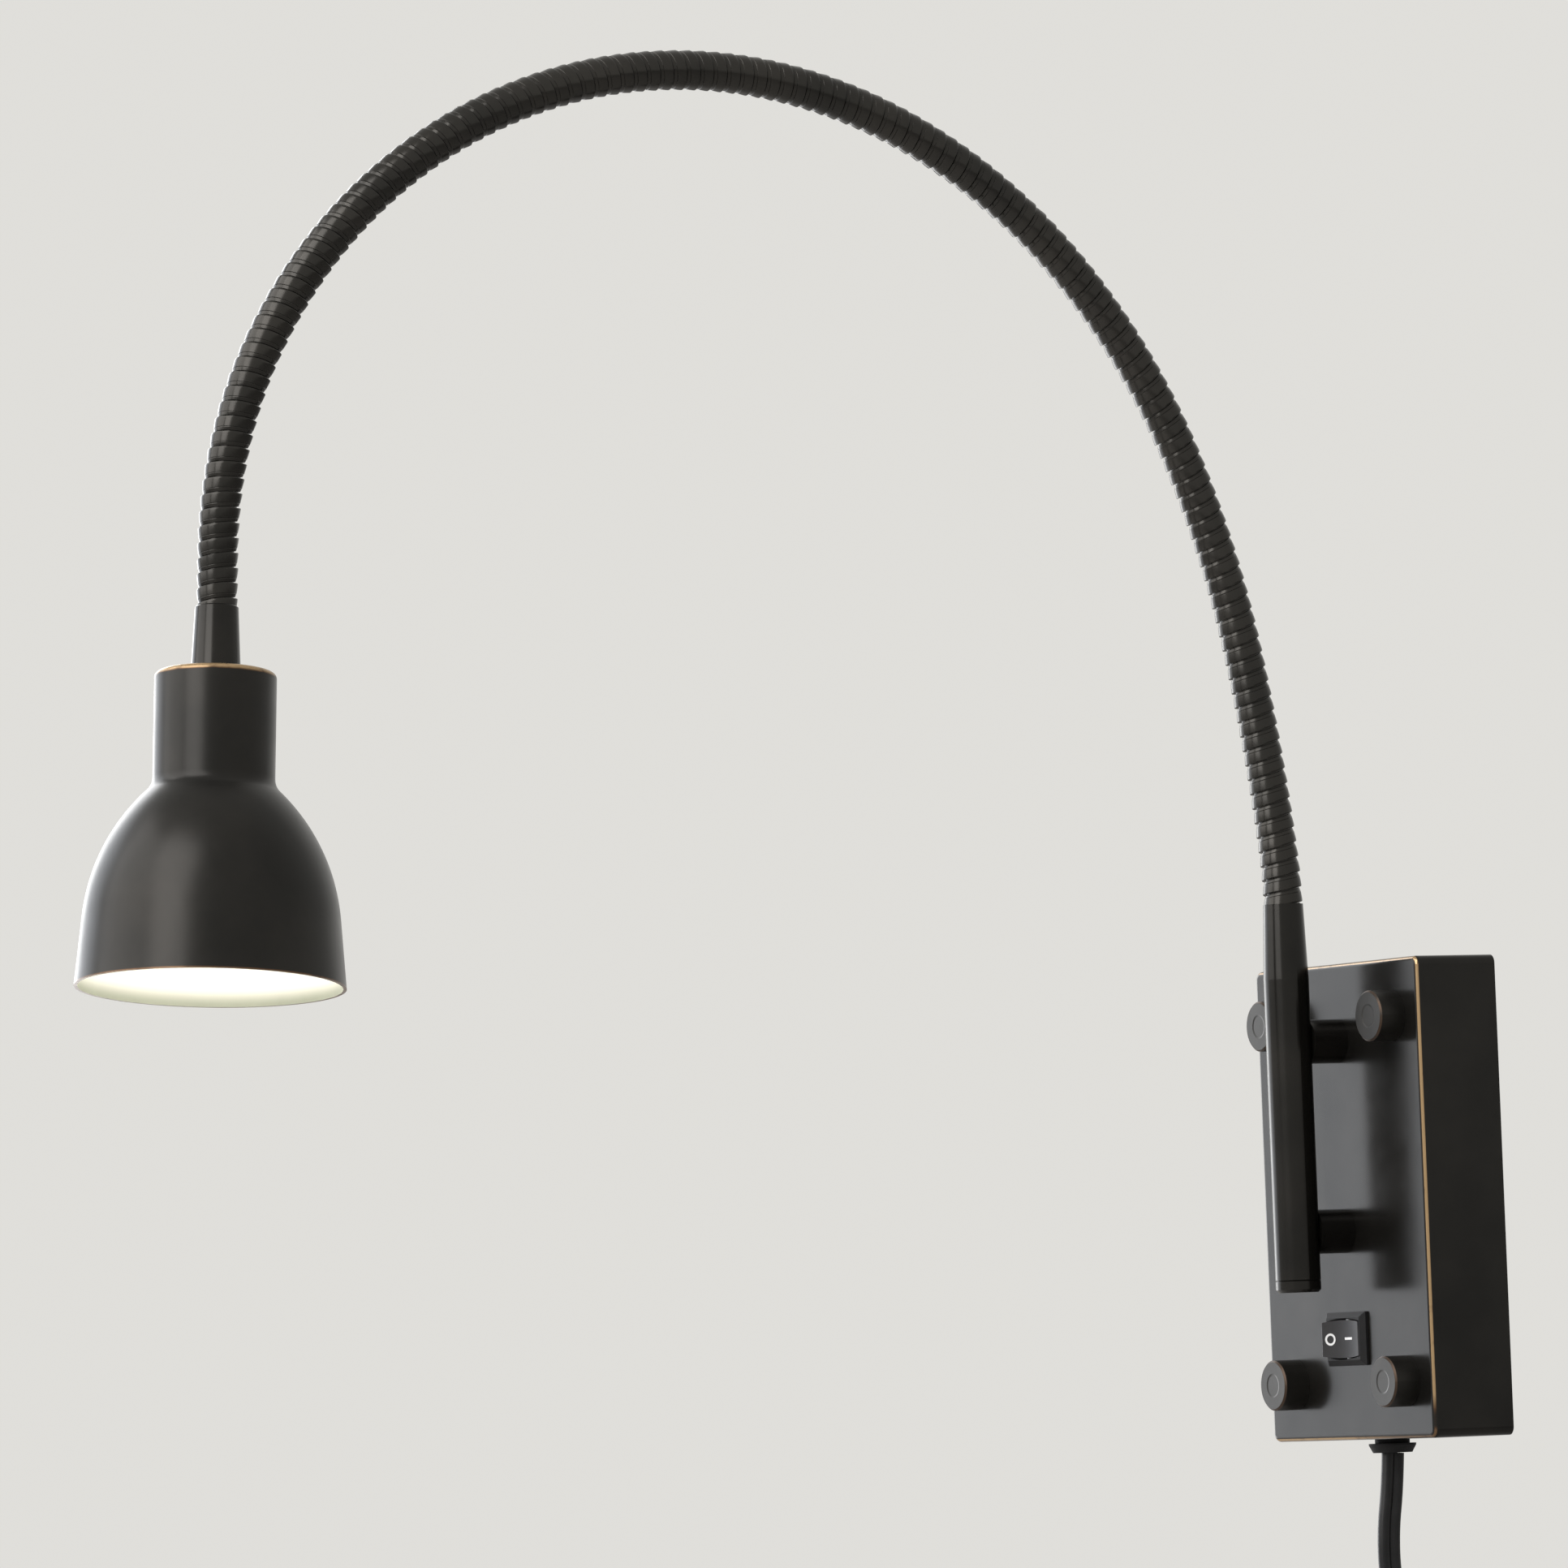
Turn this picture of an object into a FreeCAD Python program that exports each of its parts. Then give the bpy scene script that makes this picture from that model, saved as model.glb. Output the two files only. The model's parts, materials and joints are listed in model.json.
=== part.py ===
import FreeCAD, Part
import math
import os
from FreeCAD import Placement, Rotation, Vector

# Gooseneck wall sconce.  Millimetres.  Origin: centre of the back face on the wall,
# +X to the right along the wall, +Y into the wall, +Z up.

# ---- cover and what it holds -------------------------------------------------
cover_width = 89.0
cover_height = 133.4
cover_depth = 25.4
cover_wall = 1.2
cover_edge_r = 1.5
cover_corner_r = 2.4

plate_gap = 0.3
plate_thick = 1.5
wall_slot_spacing = 60.0
wall_slot_length = 10.0
wall_slot_width = 4.6

stud_r = 2.0
stud_spacing_x = 60.4
stud_spacing_z = 101.4
nut_r = 7.1
nut_length = 7.7
nut_bevel = 0.5
nut_engagement = 5.0
nut_dish_r = 3.4
nut_dish_depth = 0.12
hole_play = 0.15
thread_play = 0.05

# ---- rocker switch -------------------------------------------------------------
switch_z = -38.4
bezel_width = 21.0
bezel_height = 15.0
bezel_edge = 0.7
bezel_rise = 1.25
bezel_slope = 1.55
bezel_lip = 0.25
switch_body_width = 19.2
switch_body_height = 12.9
switch_body_depth = 12.0
switch_wall = 1.1
rocker_length = 17.0
rocker_end_height = 8.9
rocker_mid_height = 10.6
rocker_play = 0.3
rocker_hollow_r = 26.0
rocker_mid_above_pivot = 2.9
rocker_skirt = 3.0
rocker_edge_r = 0.4
rocker_throw = 24.0
pivot_r = 1.0
pivot_behind_front = 0.4
terminal_width = 4.8
terminal_thick = 0.8
terminal_length = 6.5
terminal_spacing = 9.0

# ---- stem ------------------------------------------------------------------------
stem_r = 6.35
stem_wall = 1.0
stem_standoff = 15.7
stem_bottom = -25.0
stem_cap_height = 3.3
stem_seam_bevel = 0.2
stem_taper_start = 62.5
stem_top = 83.6
stem_top_r = 5.6
spacer_r = 6.2
upper_spacer_z = 45.0
lower_spacer_z = -8.2
saddle_depth = 1.2
screw_r = 2.0
nipple_r = 3.2
nipple_bore_r = 2.2
lead_r = 2.0
lead_bend_r = 3.0
lead_tail = 17.5

# ---- flexible neck -----------------------------------------------------------------
neck_pitch = 4.13
neck_band = 2.89
neck_ridge_r = 5.5
neck_back_r = 5.15
neck_core_r = 4.95
core_inset = 0.3
neck_bore_r = 2.8
neck_spigot_r = 4.4
ribs_per_link = 14
ribs_per_stub = 3
joint_half_gap = 1.05
ball_r = 4.45
ball_play = 0.2
root_turn = 6.1
link_turns = [5.7, 12.1, 17.7, 20.4, 21.9, 22.7, 22.1, 23.1, 26.2]

# ---- shade ---------------------------------------------------------------------------
mouth_direction = Vector(0.076, -0.090, -0.993)
sleeve_length = 17.8
sleeve_top_r = 5.8
sleeve_bottom_r = 6.65
shade_height = 84.5
shade_neck_r = 16.25
shade_neck_edge_r = 1.6
shade_rim_r = 36.0
shade_skirt_height = 18.5
shade_skirt_slope = 5.5
shade_bell_r = 54.0
shade_fillet_r = 5.0
shade_wall = 0.9
spigot_play = 0.1
lock_nut_thick = 4.0
lock_nut_flats = 12.0

# ---- lamp in the shade -------------------------------------------------------------------
bridge_thick = 1.0
bridge_width = 8.0
bridge_span = 22.0
bridge_foot = 5.0
holder_r = 12.0
holder_height = 17.0
holder_top = 71.0
lamp_face = 20.0
lamp_r = 25.0
lamp_rim_height = 6.0
lamp_stub_r = 10.0
lamp_stub_height = 8.0
lens_r = 22.5
lens_thick = 2.0
pin_r = 1.5
pin_head_r = 2.5
pin_spacing = 10.0
pin_length = 7.0
pin_play = 0.2

# ---- cord ------------------------------------------------------------------------------------
bushing_y = -12.7
bushing_neck_r = 4.9
bushing_neck = 1.3
bushing_flange_r = 6.65
bushing_flange_edge = 0.5
bushing_flange_cone = 2.1
bushing_face_r = 5.5
bushing_inside = 9.0
bushing_nut_thick = 3.5
bushing_nut_flats = 13.0
cord_width = 6.8
cord_thick = 3.4
core_r = 0.9
core_offset = 0.95
core_end_gap = 0.03
core_lead_in = 6.5
block_x = 14.5
block_low = -34.0
block_length = 16.0
block_width = 7.0
block_depth = 8.2
block_grip = 7.5
clamp_screw_r = 1.5
clamp_screw_length = 2.8
coil_centre = Vector(-30.0, -8.2, -158.0)
coil_mid_r = 37.35
coil_row_turns = 3.5
coil_rows = 2
coil_turn_gap = 0.1
coil_corner_r = 2.5
coil_entry_angle = 25.0
coil_exit_angle = 40.0
tie_width = 7.0
tie_thick = 1.0
tie_play = 0.3
tie_angle = 112.0
plug_width = 20.0
plug_thick = 13.0
plug_length = 32.0
plug_neck_length = 9.0
blade_spacing = 12.7
blade_width = 6.35
blade_thick = 1.5
blade_length = 17.0
blade_root = 4.0

# Values worked out from the ones above.
front = -cover_depth
inner_front = front + cover_wall
stem_y = front - stem_standoff
joint_gap = 2.0 * joint_half_gap
link_length = ribs_per_link * neck_pitch - (neck_pitch - neck_band) + joint_gap
stub_length = ribs_per_stub * neck_pitch + joint_half_gap
sleeve_top = shade_height + sleeve_length
block_y = -plate_thick - block_depth / 2.0
coil_pitch_r = cord_thick + coil_turn_gap
coil_pitch_y = cord_width + coil_turn_gap
coil_depth = (coil_row_turns + 1.0) * coil_pitch_r
coil_outer_turn_r = coil_mid_r + 0.5 * coil_row_turns * coil_pitch_r


# ---- helpers ---------------------------------------------------------------------------------
def unit(vector):
    return Vector(vector).normalize()


def rounded_wire(width, height, radius):
    """Rounded rectangle round the origin, in the local XY plane."""
    a = width / 2.0
    b = height / 2.0
    k = radius * (1.0 - math.sqrt(0.5))
    corners = [(1, 1), (-1, 1), (-1, -1), (1, -1)]
    edges = []
    starts = []
    ends = []
    for sx, sy in corners:
        on_side = Vector(sx * a, sy * (b - radius), 0)
        on_top = Vector(sx * (a - radius), sy * b, 0)
        middle = Vector(sx * (a - k), sy * (b - k), 0)
        first, last = (on_side, on_top) if sx * sy > 0 else (on_top, on_side)
        edges.append(Part.Arc(first, middle, last).toShape())
        starts.append(first)
        ends.append(last)
    for i in range(4):
        edges.append(Part.LineSegment(ends[i], starts[(i + 1) % 4]).toShape())
    return Part.Wire(Part.__sortEdges__(edges))


def slab(width, height, radius, low, high):
    """Rounded plate between two levels of local Z."""
    face = Part.Face(rounded_wire(width, height, radius))
    solid = face.extrude(Vector(0, 0, high - low))
    solid.translate(Vector(0, 0, low))
    return solid


def rod(radius, start, end):
    """Cylinder from one point to another."""
    return Part.makeCylinder(radius, (end - start).Length, start, unit(end - start))


def hexagon(flats, low, high, bore_r):
    """Hex nut on local Z with a plain bore."""
    reach = flats / math.sqrt(3.0)
    points = []
    for i in range(7):
        angle = math.radians(60.0 * i)
        points.append(Vector(reach * math.cos(angle), reach * math.sin(angle), low))
    body = Part.Face(Part.makePolygon(points)).extrude(Vector(0, 0, high - low))
    crown = Part.makeCone(reach + 0.1, 0.5 * flats, reach + 0.1 - 0.5 * flats, Vector(0, 0, high - 0.6))
    barrel = Part.makeCylinder(reach + 0.1, high - 0.6 - low, Vector(0, 0, low))
    body = body.common(barrel.fuse(crown))
    return body.cut(Part.makeCylinder(bore_r, high - low + 2, Vector(0, 0, low - 1)))


def revolved(points):
    """Solid turned about local Z from an outline of (radius, height) points."""
    outline = Part.makePolygon([Vector(r, 0, z) for r, z in points + points[:1]])
    return Part.Face(outline).revolve(Vector(0, 0, 0), Vector(0, 0, 1), 360)


def on_front(shape, x=0.0, z=0.0):
    """Turns local X, Y, Z into right, up and out of the wall, and moves it to (x, z)."""
    shape = shape.copy()
    shape.Placement = Placement(Vector(x, 0, z), Rotation(Vector(1, 0, 0), 90)).multiply(shape.Placement)
    return shape


def rounded_route(points):
    """Straight runs joined by tangent arcs, and the radius of each arc."""
    edges = []
    radii = []
    last = points[0]
    for i in range(1, len(points) - 1):
        before = points[i - 1] - points[i]
        after = points[i + 1] - points[i]
        half_turn = (math.pi - before.getAngle(after)) / 2.0
        back = 0.45 * min(before.Length, after.Length)
        start = points[i] + unit(before) * back
        end = points[i] + unit(after) * back
        radius = back / math.tan(half_turn)
        inward = unit(unit(before) + unit(after))
        middle = points[i] + inward * (radius / math.cos(half_turn) - radius)
        edges.append(Part.LineSegment(last, start).toShape())
        edges.append(Part.Arc(start, middle, end).toShape())
        radii.append(radius)
        last = end
    edges.append(Part.LineSegment(last, points[-1]).toShape())
    return Part.Wire(edges), radii


def tube_along(points, radius, name):
    """Round tube along a rounded route; reports its radii and how true its volume is."""
    route, radii = rounded_route(points)
    start = Part.Wire(Part.makeCircle(radius, points[0], points[1] - points[0]))
    solid = route.makePipeShell([start], True, False)
    true_volume = math.pi * radius * radius * route.Length
    print(name, "length %.1f" % route.Length, "radii", [round(r, 1) for r in radii],
          "volume ratio %.4f" % (solid.Volume / true_volume))
    return solid


# ---- base --------------------------------------------------------------------------------------
def stud_places():
    return [(sx * stud_spacing_x / 2.0, sz * stud_spacing_z / 2.0) for sx in (-1, 1) for sz in (-1, 1)]


def make_cover():
    outer = slab(cover_width, cover_height, cover_corner_r, 0, cover_depth)
    front_edges = [e for e in outer.Edges if min(v.Z for v in e.Vertexes) > cover_depth - 0.01]
    outer = outer.makeFillet(cover_edge_r, front_edges)
    hollow = slab(cover_width - 2 * cover_wall, cover_height - 2 * cover_wall,
                  cover_corner_r - cover_wall, -1, cover_depth - cover_wall)
    shell = outer.cut(hollow)
    low = cover_depth - cover_wall - 1
    cuts = []
    for x, z in stud_places():
        cuts.append(Part.makeCylinder(stud_r + hole_play, cover_wall + 2, Vector(x, z, low)))
    cuts.append(Part.makeCylinder(screw_r + hole_play, cover_wall + 2, Vector(0, upper_spacer_z, low)))
    cuts.append(Part.makeCylinder(nipple_r + hole_play, cover_wall + 2, Vector(0, lower_spacer_z, low)))
    opening = slab(switch_body_width + 2 * hole_play, switch_body_height + 2 * hole_play, 0.6,
                   low, cover_depth + 1)
    opening.translate(Vector(0, switch_z, 0))
    cuts.append(opening)
    cuts.append(Part.makeCylinder(bushing_neck_r + hole_play, cover_wall + 2,
                                  Vector(0, -cover_height / 2.0 - 1, -bushing_y), Vector(0, 1, 0)))
    return on_front(shell.cut(cuts))


def make_mounting_plate():
    gap = 2 * (cover_wall + plate_gap)
    plate = slab(cover_width - gap, cover_height - gap, cover_corner_r - cover_wall, 0, plate_thick)
    cuts = []
    for side in (-1, 1):
        slot = slab(wall_slot_length, wall_slot_width, wall_slot_width / 2.0 - 0.001, -1, plate_thick + 1)
        slot.translate(Vector(side * wall_slot_spacing / 2.0, 0, 0))
        cuts.append(slot)
    for x, z in stud_places():
        cuts.append(Part.makeCylinder(stud_r + thread_play, plate_thick + 2, Vector(x, z, -1)))
    return on_front(plate.cut(cuts))


def make_studs():
    length = cover_depth + nut_engagement
    stud = revolved([(0, 0), (stud_r, 0), (stud_r, length - 0.5), (stud_r - 0.5, length), (0, length)])
    return Part.makeCompound([on_front(stud, x, z) for x, z in stud_places()])


def make_stud_lock_nuts():
    nut = hexagon(7.0, plate_thick, plate_thick + 3.2, stud_r + thread_play)
    return Part.makeCompound([on_front(nut, x, z) for x, z in stud_places()])


def make_cap_nuts():
    """Round nut with a bevelled flat face, a shallow turned dish in its centre and a blind thread."""
    face = cover_depth + nut_length
    bore = cover_depth + nut_engagement + 0.6
    nut = revolved([(stud_r + thread_play, cover_depth), (nut_r, cover_depth), (nut_r, face - nut_bevel),
                    (nut_r - nut_bevel, face), (nut_dish_r, face), (nut_dish_r - 0.5, face - nut_dish_depth),
                    (0, face - nut_dish_depth), (0, bore + 0.8), (stud_r + thread_play, bore)])
    return Part.makeCompound([on_front(nut, x, z) for x, z in stud_places()])


# ---- switch --------------------------------------------------------------------------------------
def bowed_face(length, end_height, mid_height, level):
    """Outline with straight short ends and bowed long sides."""
    a = length / 2.0
    b = end_height / 2.0
    c = mid_height / 2.0
    top = Part.Arc(Vector(a, b, level), Vector(0, c, level), Vector(-a, b, level)).toShape()
    bottom = Part.Arc(Vector(-a, -b, level), Vector(0, -c, level), Vector(a, -b, level)).toShape()
    left = Part.LineSegment(Vector(-a, b, level), Vector(-a, -b, level)).toShape()
    right = Part.LineSegment(Vector(a, -b, level), Vector(a, b, level)).toShape()
    return Part.Face(Part.Wire([top, left, bottom, right]))


def make_switch_housing():
    """Frame with four sloping sides and a bevelled lip, before a box that is open towards the front."""
    flange = slab(bezel_width, bezel_height, 0.4, cover_depth, cover_depth + bezel_edge)
    low = rounded_wire(bezel_width, bezel_height, 0.4)
    high = rounded_wire(bezel_width - 2 * bezel_slope, bezel_height - 2 * bezel_slope, 0.4)
    low.translate(Vector(0, 0, cover_depth + bezel_edge))
    frame_top = cover_depth + bezel_edge + bezel_rise
    high.translate(Vector(0, 0, frame_top))
    slope = Part.makeLoft([low, high], True, True)
    back = cover_depth - switch_body_depth
    body = slab(switch_body_width, switch_body_height, 0.5, back, cover_depth)
    solid = flange.fuse([slope, body])
    room = rocker_play
    well = bowed_face(rocker_length + 2 * room, rocker_end_height + 2 * room,
                      rocker_mid_height + 2 * room, back + switch_wall).extrude(Vector(0, 0, 30))
    pivot_level = cover_depth - pivot_behind_front
    pin_hole = Part.makeCylinder(pivot_r + thread_play, switch_body_height - 0.6,
                                 Vector(0, -(switch_body_height - 0.6) / 2.0, pivot_level), Vector(0, 1, 0))
    lip_low = bowed_face(rocker_length + 2 * room, rocker_end_height + 2 * room,
                         rocker_mid_height + 2 * room, frame_top - bezel_lip)
    lip_high = bowed_face(rocker_length + 2 * room, rocker_end_height + 2 * (room + bezel_lip),
                          rocker_mid_height + 2 * (room + bezel_lip), frame_top)
    lip = Part.makeLoft([lip_low.OuterWire, lip_high.OuterWire], True, True)
    solid = solid.cut([well, pin_hole, lip])
    for side in (-1, 1):
        slot = Part.makeBox(terminal_thick, terminal_width, switch_wall + 1,
                            Vector(side * terminal_spacing / 2.0 - terminal_thick / 2.0,
                                   -terminal_width / 2.0, back - 0.5))
        solid = solid.cut(slot)
    return on_front(solid, 0, switch_z)


def make_rocker():
    """Button with a hollow face and ends that turn about its pin; its right half is pressed in."""
    level = cover_depth - pivot_behind_front
    blank = bowed_face(rocker_length + 1.0, rocker_end_height, rocker_mid_height, level - rocker_skirt)
    blank = blank.extrude(Vector(0, 0, rocker_length / 2.0 + rocker_skirt))
    across = Vector(0, 1, 0)
    low_side = Vector(0, -bezel_height / 2.0, level)
    hollow_level = level + rocker_mid_above_pivot + rocker_hollow_r
    hollow = Part.makeCylinder(rocker_hollow_r, bezel_height,
                               Vector(0, -bezel_height / 2.0, hollow_level), across)
    ends = Part.makeCylinder(rocker_length / 2.0, bezel_height, low_side, across)
    hole = Part.makeCylinder(pivot_r + thread_play, bezel_height, low_side, across)
    button = blank.common(ends).cut([hollow, hole])
    button = max(button.Solids, key=lambda solid: solid.Volume)
    rims = [e for e in button.Edges if min(v.Z for v in e.Vertexes) > level + rocker_mid_above_pivot - 0.01
            and e.Length > 5.0 and abs(e.Vertexes[0].X - e.Vertexes[1].X) < 0.01]
    button = button.makeFillet(rocker_edge_r, rims)
    button.rotate(Vector(0, 0, level), across, rocker_throw / 2.0)
    return on_front(button, 0, switch_z)


def make_pivot_pin():
    level = cover_depth - pivot_behind_front
    length = switch_body_height - 0.8
    pin = Part.makeCylinder(pivot_r, length, Vector(0, -length / 2.0, level), Vector(0, 1, 0))
    return on_front(pin, 0, switch_z)


def make_terminals():
    """Two blades with a hole for the core, set in the back of the switch."""
    back = cover_depth - switch_body_depth
    blades = []
    for side in (-1, 1):
        x = side * terminal_spacing / 2.0
        blade = Part.makeBox(terminal_thick, terminal_width, terminal_length + switch_wall,
                             Vector(x - terminal_thick / 2.0, -terminal_width / 2.0, back - terminal_length))
        eye = Part.makeCylinder(0.8, 4, Vector(x - 2, 0, back - terminal_length + 2.5), Vector(1, 0, 0))
        blades.append(on_front(blade.cut(eye), 0, switch_z))
    return Part.makeCompound(blades)


# ---- stem ----------------------------------------------------------------------------------------
def on_stem(shape):
    shape.translate(Vector(0, stem_y, 0))
    return shape


def make_stem_tube():
    """Straight tube whose top is drawn in to the size of the neck, with two holes for the pegs."""
    low = stem_bottom + stem_cap_height
    bore = stem_r - stem_wall
    top_bore = neck_spigot_r + spigot_play
    tube = revolved([(bore, low), (stem_r - stem_seam_bevel, low), (stem_r, low + stem_seam_bevel),
                     (stem_r, stem_taper_start), (stem_top_r, stem_top), (top_bore, stem_top),
                     (top_bore, stem_taper_start), (bore, stem_taper_start)])
    for z, r in ((upper_spacer_z, screw_r + thread_play), (lower_spacer_z, nipple_r + thread_play)):
        tube = tube.cut(Part.makeCylinder(r, stem_r + 2, Vector(0, 0, z), Vector(0, 1, 0)))
    return on_stem(tube)


def make_stem_cap():
    low = stem_bottom
    joint = stem_bottom + stem_cap_height
    plug = stem_r - stem_wall - 0.03
    cap = revolved([(0, low), (stem_r - 0.8, low), (stem_r, low + 0.8), (stem_r, joint - stem_seam_bevel),
                    (stem_r - stem_seam_bevel, joint), (plug, joint), (plug, joint + 5.0), (0, joint + 5.0)])
    return on_stem(cap)


def make_spacer(z, bore_r):
    """Round peg with a bore, flat on the cover and hollowed to the curve of the stem."""
    level = cover_depth + stem_standoff
    peg = revolved([(bore_r, cover_depth), (spacer_r, cover_depth), (spacer_r, level), (bore_r, level)])
    peg = on_front(peg, 0, z)
    peg = peg.cut(Part.makeCylinder(stem_r + 0.02, 4 * spacer_r, Vector(0, stem_y, z - 2 * spacer_r)))
    low_y = stem_y + stem_r - saddle_depth
    keep = Part.makeBox(4 * spacer_r, front - low_y, 4 * spacer_r,
                        Vector(-2 * spacer_r, low_y, z - 2 * spacer_r))
    return peg.common(keep)


def make_spacer_screw():
    """Pan head screw from inside the cover, through the peg, into the wall of the stem."""
    level = cover_depth - cover_wall
    tip = cover_depth + stem_standoff - stem_r + stem_wall + 1.5
    screw = revolved([(0, level - 2.4), (2.6, level - 2.4), (3.9, level - 1.2), (3.9, level),
                      (screw_r, level), (screw_r, tip - 0.5), (screw_r - 0.5, tip), (0, tip)])
    screw = screw.cut(Part.makeBox(8, 0.9, 1.3, Vector(-4, -0.45, level - 2.5)))
    return on_front(screw, 0, upper_spacer_z)


def make_nipple():
    """Threaded tube that carries the lead through the lower peg."""
    low = cover_depth - cover_wall - 5.0
    high = cover_depth + stem_standoff - stem_r + stem_wall
    nipple = revolved([(nipple_bore_r, low), (nipple_r, low), (nipple_r, high), (nipple_bore_r, high)])
    return on_front(nipple, 0, lower_spacer_z)


def make_nipple_nut():
    level = cover_depth - cover_wall
    nut = hexagon(10.0, level - 3.0, level, nipple_r + thread_play)
    return on_front(nut, 0, lower_spacer_z)


def make_neck_lock_nut():
    """Nut on the lower end of the neck, under the shoulder of the stem."""
    inside = neck_spigot_r + thread_play
    outside = stem_r - stem_wall - 0.1
    low = stem_taper_start - lock_nut_thick
    return on_stem(revolved([(inside, low), (outside, low), (outside, stem_taper_start),
                             (inside, stem_taper_start)]))


# ---- flexible neck -----------------------------------------------------------------------------------
class Bend:
    """A stretch of the neck's centreline from the origin along +Z, turning towards -Y."""

    def __init__(self, length, turn):
        self.length = length
        self.turn = turn

    def at(self, distance):
        """Point and direction at a distance along the stretch."""
        if self.turn == 0:
            return Vector(0, 0, distance), Vector(0, 0, 1)
        angle = math.radians(self.turn) * distance / self.length
        r = self.length / math.radians(self.turn)
        point = Vector(0, r * (math.cos(angle) - 1.0), r * math.sin(angle))
        return point, Vector(0, -math.sin(angle), math.cos(angle))

    def bar(self, radius, start, end):
        """Solid round bar along the stretch between two distances."""
        point, direction = self.at(start)
        face = Part.Face(Part.Wire(Part.makeCircle(radius, point, direction)))
        if self.turn == 0:
            return face.extrude(direction * (end - start))
        r = self.length / math.radians(self.turn)
        return face.revolve(Vector(0, -r, 0), Vector(1, 0, 0), self.turn * (end - start) / self.length)

    def far_end(self):
        point, _ = self.at(self.length)
        return Placement(point, Rotation(Vector(1, 0, 0), self.turn))


def ribs(bend, first, count):
    """Bands that flare towards the base, one to a turn of the wound strip."""
    bands = []
    for i in range(count):
        start = first + i * neck_pitch
        point, direction = bend.at(start + neck_band / 2.0)
        base = point - direction * (neck_band / 2.0)
        bands.append(Part.makeCone(neck_ridge_r, neck_back_r, neck_band, base, direction))
    return bands


def make_link(turn):
    """One length of neck: a socket at its base, wound bands, a ball at its tip, and a bore."""
    bend = Bend(link_length, turn)
    body = bend.bar(neck_core_r, joint_half_gap + core_inset, link_length - joint_half_gap - core_inset)
    tip, _ = bend.at(link_length)
    body = body.fuse(ribs(bend, joint_half_gap, ribs_per_link) + [Part.makeSphere(ball_r, tip)])
    socket = Part.makeSphere(ball_r + ball_play, Vector(0, 0, 0))
    bore = bend.bar(neck_bore_r, -1.0, link_length + ball_r + 1.0)
    return body.cut([socket, bore]), bend


def make_root():
    """First turns of the neck, with the threaded spigot that goes down into the stem."""
    bend = Bend(stub_length, root_turn)
    depth = stem_top - stem_taper_start + lock_nut_thick + 1.5
    body = bend.bar(neck_core_r, 0, stub_length - joint_half_gap - core_inset)
    tip, _ = bend.at(stub_length)
    spigot = Part.makeCylinder(neck_spigot_r, depth + 0.5, Vector(0, 0, -depth))
    first = neck_pitch - neck_band
    body = body.fuse(ribs(bend, first, ribs_per_stub) + [Part.makeSphere(ball_r, tip), spigot])
    bore = bend.bar(neck_bore_r, 0, stub_length + ball_r + 1.0)
    spigot_bore = Part.makeCylinder(neck_bore_r, depth + 1.0, Vector(0, 0, -depth - 1.0))
    return body.cut([bore, spigot_bore]), bend


def make_tip():
    """Last turns of the neck in the head's own frame, with the spigot that holds the shade."""
    bend = Bend(stub_length, 0)
    depth = sleeve_length + shade_wall + bridge_thick + lock_nut_thick + 1.5
    body = bend.bar(neck_core_r, joint_half_gap + core_inset, stub_length)
    spigot = Part.makeCylinder(neck_spigot_r, depth + 0.5, Vector(0, 0, stub_length - 0.5))
    body = body.fuse(ribs(bend, joint_half_gap, ribs_per_stub) + [spigot])
    socket = Part.makeSphere(ball_r + ball_play, Vector(0, 0, 0))
    body = body.cut([socket, bend.bar(neck_bore_r, 0, stub_length + depth + 1)])
    body.rotate(Vector(0, 0, 0), Vector(1, 0, 0), 180)
    body.translate(Vector(0, 0, sleeve_top + stub_length))
    return body


# ---- head, built along local Z with the rim of the shade at zero ---------------------------------------
def shade_outline(inset):
    """Edges of the bell from its rim up to its top face, moved inwards by inset."""
    slope = math.radians(shade_skirt_slope)
    start_r = shade_rim_r - shade_skirt_height * math.tan(slope)
    centre_r = start_r - shade_bell_r * math.cos(slope)
    centre_z = shade_skirt_height - shade_bell_r * math.sin(slope)
    fillet_centre_r = shade_neck_r + shade_fillet_r
    reach = shade_bell_r + shade_fillet_r
    fillet_centre_z = centre_z + math.sqrt(reach ** 2 - (fillet_centre_r - centre_r) ** 2)
    end_angle = math.atan2(fillet_centre_z - centre_z, fillet_centre_r - centre_r)
    bell_r = shade_bell_r - inset
    fillet_r = shade_fillet_r + inset
    wall_r = shade_neck_r - inset
    top = shade_height - inset
    corner = shade_neck_edge_r - inset
    k = corner * math.sqrt(0.5)

    def on_bell(angle):
        return Vector(centre_r + bell_r * math.cos(angle), 0, centre_z + bell_r * math.sin(angle))

    def on_fillet(angle):
        return Vector(fillet_centre_r + fillet_r * math.cos(angle), 0,
                      fillet_centre_z + fillet_r * math.sin(angle))

    rim = Vector(shade_rim_r - inset / math.cos(slope), 0, 0)
    bell_low = on_bell(slope)
    bell_top = on_bell(end_angle)
    neck_low = on_fillet(math.pi)
    neck_top = Vector(wall_r, 0, top - corner)
    corner_mid = Vector(wall_r - corner + k, 0, top - corner + k)
    top_edge = Vector(wall_r - corner, 0, top)
    edges = [Part.LineSegment(rim, bell_low).toShape(),
             Part.Arc(bell_low, on_bell(0.5 * (slope + end_angle)), bell_top).toShape(),
             Part.Arc(bell_top, on_fillet(0.5 * end_angle + math.pi), neck_low).toShape(),
             Part.LineSegment(neck_low, neck_top).toShape(),
             Part.Arc(neck_top, corner_mid, top_edge).toShape()]
    return edges, rim, top_edge


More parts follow.
